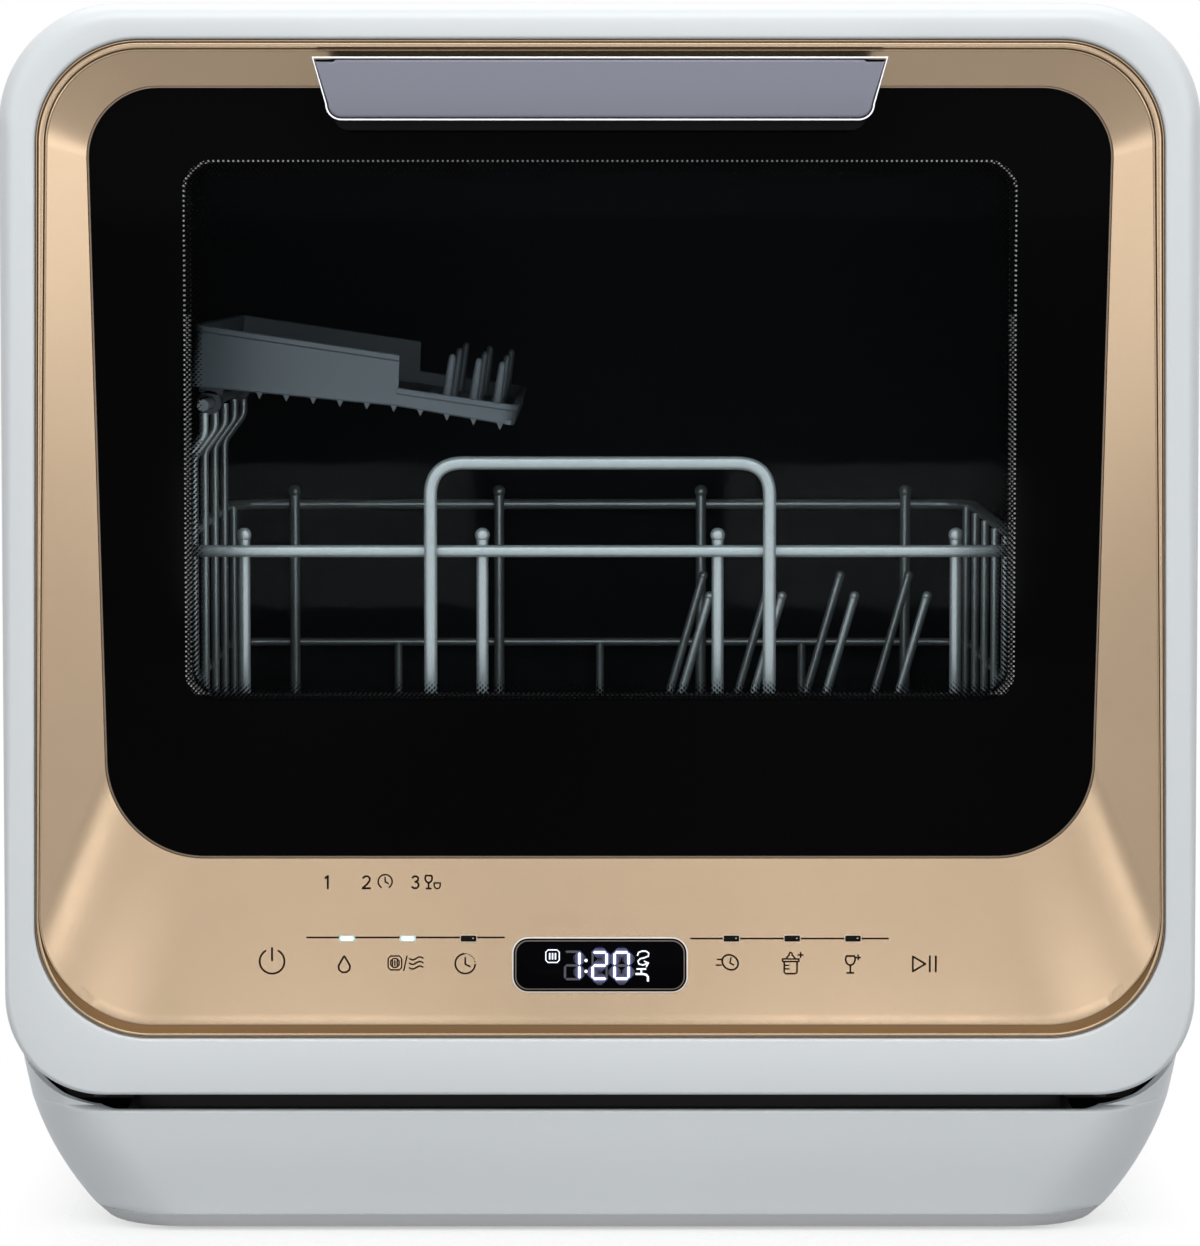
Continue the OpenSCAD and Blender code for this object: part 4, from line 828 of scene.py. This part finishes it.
# Basket with air
for g in (0.0, 2.6):
    ink.band(cut_corners(387.8 + g, 401.3 - g, 956 + g, 970 - g, 2.4), 0.95, True)
for k in range(3):
    ink.line(392.2 + 2.3 * k, 960.6, 392.2 + 2.3 * k, 965.6, 0.9)
    ink.band([(408.7 + 1.2 * t, 958.4 + 4.6 * k + 1.5 * math.sin(math.pi * t / 6)) for t in range(13)], 1.0)
ink.line(403.4, 970.6, 406.6, 956, 0.95)
# Delay clock
ink.circle(465, 963.7, 10, 92, 358)
for x, z in arc(465, 963.7, 10, -12, -84, 4):
    ink.disc(x, z, 0.75)
ink.stroke([(465, 957.6), (465, 964.2), (469.8, 966.6)], 1.1)
# Quick wash
ink.band([(730.4 + 7.9 * x - 1.4 * z, 962.4 - 7.6 * z) for x, z in full_circle(0, 0, 1, 30)], 1.15, True)
ink.stroke([(731.2, 957.8), (730.2, 963), (734, 965.2)], 1.0)
ink.line(717.5, 959.4, 722, 959.4, 1.0)
ink.line(716.4, 965.2, 721.2, 965.2, 1.0)
# Bottle
ink.band([(784.6, 962), (784.6, 972.4), (786, 973.8), (796, 973.8), (797.4, 972.4), (797.4, 962)], 1.15)
ink.stroke([(782.8, 959), (799.2, 959), (799.2, 961.6), (782.8, 961.6)], 1.0, True)
neck = [(786.6, 958.6), (788, 956.4), (789.4, 955.4), (789.8, 953)]
ink.band(neck + [(791, 952.2)] + [(1582 - x, z) for x, z in neck[::-1]], 1.05)
for z in (965.4, 969):
    ink.line(785.4, z, 789.4, z, 0.9)
plus(ink, 801, 955)
wine_glass(ink, 846, 956, 9.6, 17)
plus(ink, 858.6, 957.4, 2.4)
# Start and pause
ink.stroke([(913.4, 956.4), (926, 964), (913.4, 971.6)], 1.2, True)
for x in (930.4, 936.4):
    ink.line(x, 956.2, x, 971.8, 1.25)
ink.build("panel_print", PRINT)


# Lamps: cream rims with a lens in each; the rims of the lit lamps glow instead, as painted light of their LEDs
def slab(name, x, z, w, h, r, low, high, material, e=0.12, n=6, **kw):
    """A rounded plate on the panel, from depth low to height high, with a soft front edge."""
    rings = []
    for inset, out in ((0, low), (0, high - e), (e * 0.3, high - e * 0.3), (e, high)):
        half, ri = w / 2 - inset, max(r - inset, 0.02)
        pts = soft_rect(half, half, z - h / 2 + inset, z + h / 2 - inset, ri, ri, n)
        rings.append([on_panel(px + x, pz, out) for px, pz in pts])
    return make(name, *stack(rings), "door", material, smooth=35, **kw)


LAMP_Z, DISPLAY_Z = 102.2, 93
CREAM = plastic("lamp_rim", (0.62, 0.52, 0.40), 0.3, 0.04)
BEZEL = plastic("display_rim", (0.80, 0.76, 0.70), 0.22, 0.04, coat=0.5)
# Emitting rim for the lit lamps: painted glow of their LEDs.
PAINTED_GLOW_RIM = glow("led_rim_painted_glow", (0.62, 0.86, 0.84), 0.75)
for side, word in ((-1, "left"), (1, "right")):
    for k in range(3):
        x, tag = side * (46.4 + 21.45 * k), "%s_%d" % (word, k + 1)
        lit = side < 0 and k > 0
        rim, lens = ((5.8, 2.1), (4.4, 1.3)) if lit else ((6.1, 2.7), (5.5, 2.1))
        slab("lamp_rim_" + tag, x, LAMP_Z, *rim, 0.8, -0.4, 0.1, PAINTED_GLOW_RIM if lit else CREAM)
        slab("lamp_" + tag, x, LAMP_Z, *lens, 0.45, -0.3, 0.2, LIT if lit else DARK_LED, slot="led_white",
             replaces=("led_lenses",) if tag == "left_1" else ())
        # Each dark lamp gets a small cream patch at the right of its lens: a painted glint.
        if not lit:
            slab("lamp_painted_glint_" + tag, x + 1.6, LAMP_Z + 0.1, 0.7, 0.4, 0.2, 0.1, 0.24, CREAM)

# Display: two bright lines with a dark one between them, and black glass
BRONZE = plastic("display_inner_rim", (0.13, 0.10, 0.085), 0.3, 0.05)
for name, less, r, low, high, mat, e, links in (
    ("edge", 0.9, 5.7, -0.5, 0.55, BEZEL, 0.3, dict(slot="handle_chrome", replaces=("display_bezel",))),
    ("line", 1.9, 5.2, -0.4, 0.6, HALO, 0.1, {}),
    ("seam", 3.1, 4.6, -0.35, 0.65, BRONZE, 0.1, {}),
    ("glass", 3.9, 4.2, -0.3, 0.7, HALO, 0.15, dict(slot="display_black", replaces=("display_lens",))),
):
    slab("display_" + name, 0, DISPLAY_Z, 63.0 - less, 20.4 - less, r, low, high, mat, e, 10, **links)
CELLS = ((565.0, 951.6, 14.4, 27.6), (592.6, 952.2, 14.0, 26.6), (614.6, 952.2, 14.0, 26.6))
for name, wide, lift, tone in (("far", 12.5, 0.70, 0.05), ("wide", 8.6, 0.715, 0.13), ("near", 5.4, 0.73, 0.34)):
    halo = Ink(lift)
    for d, cell in zip("120", CELLS):
        halo.digit(d, *cell, wide, -1.5)
    halo.build("display_halo_" + name, glow("blue_halo_" + name, (0.05, 0.07, 0.62), tone))
ghost = Ink(0.745)
ghost.digit("2", *CELLS[0], 2.3)
ghost.digit("0", *CELLS[1], 2.0)
ghost.line(616.6, 965.5, 626.6, 965.5, 1.7)
ghost.build("display_ghosts", plastic("display_ghost", (0.03, 0.03, 0.045), 0.3, 0.1))
show = Ink(0.76, 1.1)
for d, cell in zip("120", CELLS):
    show.digit(d, *cell, 2.8)
for z in (960.4, 971.4):
    show.disc(586, z, 1.7)
show.band(cut_corners(545.8, 559.2, 949.8, 962.4, 2.2), 1.0, True)
for k in range(3):
    show.line(549.6 + 2.9 * k, 953.4, 549.6 + 2.9 * k, 959, 1.3)
show.band([(637.4, 955.6), (638.6, 952.4), (642, 951), (646, 951), (648.8, 953), (648.4, 956), (644.6, 957.6),
           (640.4, 958.6), (638, 961), (639, 964), (643, 965), (647.6, 963.4)], 1.3)
show.stroke([(644.4, 961.2), (648.4, 963), (646.4, 966.8)], 1.2)
show.band([(635.6, 974), (642.6, 974), (646.4, 974.8), (648, 977), (648, 981.6)], 1.9)
show.line(641.4, 973.4, 641.4, 969.4, 1.5)
show.line(637, 969, 645.8, 969, 1.4)
show.build("display_signs", DIGITS)

# -------- wires of the basket and its rack
RAIL, WIRE_R = 2.2, 1.7
FLOOR_Z, RAIL_Z, LOW_RAIL = 122.0, 235.0, 176.0
BX, BY0, BY1 = 158.0, -140.0, 134.0
SIDES = [-108 + 45 * i for i in range(5)]
ROD_X, ROD_Z = -147.0, 287.0


def loop(z, r=16.0, n=10):
    pts = arc(BX - r, BY0 + r, r, -90, 0, n) + arc(BX - r, BY1 - r, r, 0, 90, n)
    pts += arc(r - BX, BY1 - r, r, 90, 180, n) + arc(r - BX, BY0 + r, r, 180, 270, n)
    return [(x, y, z) for x, y in pts]


WIRED = dict(body="basket", material=WIRE, slot="wire_coating")
posts, wires, tips = [], [], []
y0, y1 = BY0 + 3.4, BY1 - 3.4


def cradle(x, top):
    """A wire down the front, under the floor and up the back."""
    return bend([(x, y0, top), (x, y0, FLOOR_Z), (x, y1, FLOOR_Z), (x, y1, top)], 9)


for x in (-130, -43, 43, 130):
    posts.append(cradle(x, RAIL_Z + 5))
    tips += [(x, y0, RAIL_Z + 5.6), (x, y1, RAIL_Z + 5.6)]
wires += [cradle(x, LOW_RAIL) for x in (-86, 0, 86)]
for y in SIDES + [117]:
    x, z = BX - 3.0, FLOOR_Z - 3.1
    path = [(-x, y, RAIL_Z), (-x, y, z), (x, y, z), (x, y, RAIL_Z)]
    if y in SIDES:
        path = [(ROD_X, y, ROD_Z - 3), (ROD_X, y, ROD_Z - 11), (-x, y, ROD_Z - 22)] + path[1:]
    wires.append(bend(path, 7))
wires += [[(-BX + 4, y, FLOOR_Z - 3), (BX - 4, y, FLOOR_Z - 3)] for y in (BY0 + 4, BY1 - 4)]
tube("basket_rail", posts, RAIL, loops=[loop(RAIL_Z)], replaces=("basket_frame",), **WIRED)
tube("basket_wires", wires, WIRE_R, loops=[loop(LOW_RAIL)], **WIRED)
ball("basket_tips", tips, 2.75, **WIRED)
PULL_R = 2.4
lx, ly, low, top = 61.6, BY0 - RAIL - PULL_R, LOW_RAIL - 4, 267.4
pull = bend([(-lx, ly, low), (-lx, ly, top), (lx, ly, top), (lx, ly, low)], 12, 12)
tube("pull_loop", [pull], PULL_R, replaces=("basket_loop",), **WIRED)
LEAN, TINE = math.radians(16), 88
z = FLOOR_Z + 4
tines, tine_tips = [], []
for y in (-46, 56):
    for x in (18, 46, 74, 102):
        tip = (x + TINE * math.sin(LEAN), y, z + TINE * math.cos(LEAN))
        tines.append([(x, y, z), tip])
        tine_tips.append(tip)
    tines.append([(10, y, z), (120, y, z)])
for y in (-30, 40):
    tines += [[(x, y, FLOOR_Z + 3), (x, y, FLOOR_Z + 42)] for x in (-100, -66)] + [[(-125, y, z), (-48, y, z)]]
tube("tine_rows", tines, WIRE_R, replaces=("plate_tines",), **WIRED)
ball("tine_tips", tine_tips, 1.9, **WIRED)
rod = [(ROD_X, SIDES[0] - 5, ROD_Z), (ROD_X, SIDES[4] + 12, ROD_Z)]
tube("rack_hinge_rod", [rod], RAIL, replaces=("rack_rod",), **WIRED)

# -------- cutlery rack
RACK_TILT, RACK_W, STEP_X = math.radians(8.5), 121.0, 77.5
RACK_Y0, RACK_Y1 = SIDES[0] - 8, SIDES[0] + 188


def rack_at(x, y, z):
    c, s = math.cos(RACK_TILT), math.sin(RACK_TILT)
    return (ROD_X + (x - 6) * c + (z + 6) * s, y, ROD_Z - (x - 6) * s + (z + 6) * c)


def rack_low(x):
    """Lower edge of the tray: it leaves the plane of the rim towards the step."""
    return 0.5 + 0.052 * min(x, STEP_X) - 0.022 * max(0.0, x - STEP_X)


class Moulding:
    """Points and faces of the rack, given in its own upright frame."""

    def __init__(self):
        self.verts, self.faces = [], []

    def add(self, verts, faces):
        base = len(self.verts)
        self.verts += [rack_at(*p) for p in verts]
        self.faces += [tuple(base + i for i in f) for f in faces]

    def wall(self, path, top, rim, t=1.7):
        """An upright wall along a path in plan, with a rim that stands out at its top edge."""
        rows = []
        for i, p in enumerate(path):
            a, b = path[max(i - 1, 0)], path[min(i + 1, len(path) - 1)]
            length = math.hypot(b[0] - a[0], b[1] - a[1])
            nx, ny = (b[1] - a[1]) / length, -(b[0] - a[0]) / length
            low = rack_low(p[0])
            shape = [(-0.5, low), (0, low + 0.5), (0, top - 2.6), (rim, top - 1.9), (rim, top - 0.35),
                     (rim - 0.35, top), (0.3 - t, top), (-t, top - 0.3), (-t, low)]
            lean = 0.11 if top > 20 and p[0] == STEP_X else 0.0
            rows.append([(p[0] + nx * o - lean * (z - low), p[1] + ny * o, z) for o, z in shape])
        self.add(*stack(rows))

    def floor(self, xs, ys, t, hole):
        """A pierced plate between the walls."""
        nx, ny = len(xs), len(ys)
        verts = [(x, y, rack_low(x) + k * t + 0.2) for k in (0, 1) for x in xs for y in ys]
        idx = lambda i, j, k: (k * nx + i) * ny + j
        solid = lambda i, j: 0 <= i < nx - 1 and 0 <= j < ny - 1 and not hole(i, j)
        faces = []
        for i, j in ((i, j) for i in range(nx - 1) for j in range(ny - 1) if solid(i, j)):
            around = ((i, j), (i + 1, j), (i + 1, j + 1), (i, j + 1))
            faces.append(tuple(idx(a, b, 1) for a, b in around))
            faces.append(tuple(idx(a, b, 0) for a, b in reversed(around)))
            for k, beyond in enumerate(((i, j - 1), (i + 1, j), (i, j + 1), (i - 1, j))):
                if not solid(*beyond):
                    a, b = around[k], around[(k + 1) % 4]
                    faces.append((idx(*a, 0), idx(*b, 0), idx(*b, 1), idx(*a, 1)))
        self.add(verts, faces)

    def cone(self, x, y, z, profile, n=14):
        """A turned peg; profile is (radius, height) from its foot."""
        self.add(*stack([[(px, py, z + h) for px, py in full_circle(x, y, r, n)] for r, h in profile]))


tray = Moulding()
ya, yb, r = RACK_Y0, RACK_Y1, 3.0
tray.wall([(STEP_X, yb), (50, yb), (26, yb)] + arc(r, yb - r, r, 90, 180, 8) + arc(r, ya + r, r, 180, 270, 8)
          + [(26, ya), (50, ya), (STEP_X, ya)], 23.4, 0.9)
ya, yb, r = ya + 0.06, yb - 0.06, 7.0
tray.wall([(STEP_X - 1.2, ya), (95, ya)] + arc(RACK_W - r, ya + r, r, -90, 0, 8) + arc(RACK_W - r, yb - r, r, 0, 90, 8)
          + [(95, yb), (STEP_X - 1.2, yb)], 11.3, 0.5)
xs = [1, 12, 22, 29, 39, 46, 56, 63, 70, STEP_X, 84, 88, 96, 100, 108, 111.5, RACK_W - 1.2]
ys = [ya + 1, ya + 10] + [ya + 10 + 16 * k + e for k in range(11) for e in (5, 16)] + [yb - 1]
tray.floor(xs, ys, 1.6, lambda i, j: i in (1, 3, 5, 7, 10, 12, 14) and j % 2 == 1 and 0 < j < len(ys) - 2)
PEG = [(2.1, 0), (1.95, 1.5), (1.35, 20.5), (1.1, 21.4), (0.5, 21.9)]
for x in (94.5, 104.5, 113.3):
    for j in (0, 3, 6):
        tray.cone(x, ya + 14 + 28 * j, 4.2, PEG)
# Pointed teeth under both long walls
for x in (26.2 + 9.95 * i for i in range(10)):
    for y in (ya + 0.2, yb - 2.0):
        z = rack_low(x) + 0.4
        tray.add(*stack([[(x - 1.3, y + side, z), (x + 1.3, y + side, z), (x + 0.35, y + tip, z - 2.7)]
                         for side, tip in ((0, 0.4), (1.8, 1.4))]))
# Two eyes round the rod, each on a block under the floor
for y in (SIDES[0] + 22, SIDES[3] + 22):
    tray.add(*grid([[(x, yy, z) for x, z in full_circle(6, -6, rr, 20)]
                    for rr, yy in ((4.6, y), (4.6, y + 8), (2.4, y + 8), (2.4, y))]))
    tray.add(*stack([[(x, yy, z) for x, z in ((1.6, -2.6), (10.4, -2.6), (10.4, 1.4), (1.6, 1.4))]
                     for yy in (y, y + 8)]))
make("rack_tray", tray.verts, tray.faces, "rack", RACK, smooth=35, slot="rack_plastic", replaces=("cutlery_rack",))

# -------- finishes of the CAD nodes that are kept
FINISH = (
    (BACK, "rear_panel filler_neck inlet_valve latch_strike"), (GAP_SHADE, "drip_channel"), (DOOR_GLASS, "outer_glass"),
    (BLACK, "front_beam drain_outlet mains_gland latch_switch handle_base"), (SKIRT, "foot_frame"), (CAP, "filler_cap"),
    (RUBBER, "feet tub_gasket"), (TUB, "tub"), (PUMP, "sump wash_pump drain_pump detergent_lid"), (TANK, "water_tank"),
    (STEEL, "filter_plate heater latch_hook"), (FILTER, "fine_filter detergent_cup"), (BUSH, "hinge_bushes"),
    (ARM, "spray_riser spray_arm spray_cap"), (HOSE, "drain_pipe fill_pipe"), (BOARD, "power_board control_board"),
    (SHADED_STEEL, "hinge_brackets hinge_arms"), (SCREW, "panel_screws door_screws"), (CLEAR, "inner_glass"),
    (LINER, "door_liner"), (RACK, "basket_feet"),
)
EDGES = {
    0.3: "latch_hook drain_outlet hinge_brackets door_liner", 0.35: "filler_cap", 0.5: "detergent_lid spray_cap",
    0.4: "rear_panel detergent_cup inlet_valve mains_gland latch_strike",
    0.6: "handle_base basket_feet feet foot_frame",
}
WIDTHS = {n: width for width, names in EDGES.items() for n in names.split()}
for node_name, mat in ((n, mat) for mat, names in FINISH for n in names.split()):
    node = NODES[node_name]
    node.data.materials.clear()
    node.data.materials.append(mat)
    if node_name in WIDTHS:
        mod = node.modifiers.new("soft_edges", "BEVEL")
        mod.width = WIDTHS[node_name] * MM
        mod.segments = 2
        mod.limit_method = "ANGLE"
        mod.angle_limit = math.radians(40)
        mod.harden_normals = True

# -------- stage, light and camera
def shows_white(m):
    """1 for rays that should meet the pale background: straight from the camera, mirrored or through glass."""
    path = m.node("ShaderNodeLightPath")
    seen, glossy, through = (Term(m, path.outputs["Is %s Ray" % kind]) for kind in ("Camera", "Glossy", "Transmission"))
    return (seen | glossy) | through, glossy


def floor_material():
    """A pale floor that holds the shadow near the object and gives way to the white background further out."""
    m = Nodes("floor")
    x, y, _ = m.xyz()
    far = length((abs(x) - 0.14) | 0.0, (abs(y) - 0.172) | 0.0)
    seen, glossy = shows_white(m)
    fade = (far * (1 / 0.075)).do("MULTIPLY", glossy * -1.0 + 1.0, clamp=True)
    tone = m.ramp(m.noise(3.0), (0.3, (0.7, 0.7, 0.7)), (0.7, (0.72, 0.72, 0.72)))
    pale = m.surface(tone, 0.6, **{"Emission Color": (1, 1, 1), "Emission Strength": seen * 0.34})
    return m.done(m.mix(fade, pale, m.node("ShaderNodeBsdfTransparent").outputs[0]))


floor_mesh = bpy.data.meshes.new("floor")
floor_mesh.from_pydata([(-3, -3, 0), (3, -3, 0), (3, 3, 0), (-3, 3, 0)], [], [(0, 1, 2, 3)])
floor = link(bpy.data.objects.new("floor", floor_mesh))
floor_mesh.materials.append(floor_material())

sky = Nodes("studio", bpy.data.worlds, "ShaderNodeOutputWorld")
soft = sky.node("ShaderNodeBackground", {"Color": (0.93, 0.96, 1.0), "Strength": 0.22})
plain = sky.node("ShaderNodeBackground", {"Color": (1, 1, 1), "Strength": 1.0})
bpy.context.scene.world = sky.done(sky.mix(shows_white(sky)[0], soft.outputs[0], plain.outputs[0]))


def lamp(name, place, aim, size, power, color=(1, 1, 1)):
    data = bpy.data.lights.new(name, "AREA")
    data.shape = "RECTANGLE"
    data.size, data.size_y = size
    data.energy = power
    data.color = color
    obj = link(bpy.data.objects.new(name, data))
    obj.location = place
    obj.rotation_mode = "QUATERNION"
    obj.rotation_quaternion = (Vector(aim) - Vector(place)).to_track_quat("-Z", "Y")
    return obj


lamp("key_top", (0.0, -1.15, 1.75), (0, -0.2, 0.25), (1.5, 0.8), 16.2, (1.0, 0.99, 0.985))
lamp("front_fill", (0, -2.7, 0.85), (0, -0.2, 0.2), (2.6, 1.0), 8.2)
for side, name, power in ((-1, "left", 1.0), (1, "right", 1.12)):
    lamp("side_" + name, (side * 1.9, -1.4, 0.7), (0, -0.15, 0.2), (1.3, 2.0), 9.6 * power, (0.96, 0.98, 1.0))
    lamp("card_" + name, (side * 1.55, -2.1, 0.47), (side * -0.18, -0.2, 0.3), (1.4, 0.7), 4.2 * power)
    lamp("corner_" + name, (side * 0.225, -2.3, 0.1), (0, -0.2, 0.13), (0.24, 0.12), 0.55 * power)
lamp("top_back", (0.0, 0.3, 1.6), (0, 0, 0.3), (1.6, 0.8), 8)
WINDOW_MID = 0.278 + LIFT * MM
lamp("through_window", (0, -0.1605, WINDOW_MID), (0, 0, WINDOW_MID), (0.27, 0.18), 0.2, (1.0, 0.99, 0.98))

cam_data = bpy.data.cameras.new("camera")
cam = link(bpy.data.objects.new("camera", cam_data))
cam_data.sensor_width = 36
cam_data.lens = 127.04
cam_data.shift_y = -0.1
cam.rotation_mode = "XYZ"
cam.location = (0, -1.7386, 0.3526 + LIFT * MM)
cam.rotation_euler = (math.radians(90 - 3.521), 0, 0)
cam_data.clip_start, cam_data.clip_end = 0.05, 50

scene = bpy.context.scene
scene.camera = cam
scene.view_settings.view_transform = "Standard"
save_size()
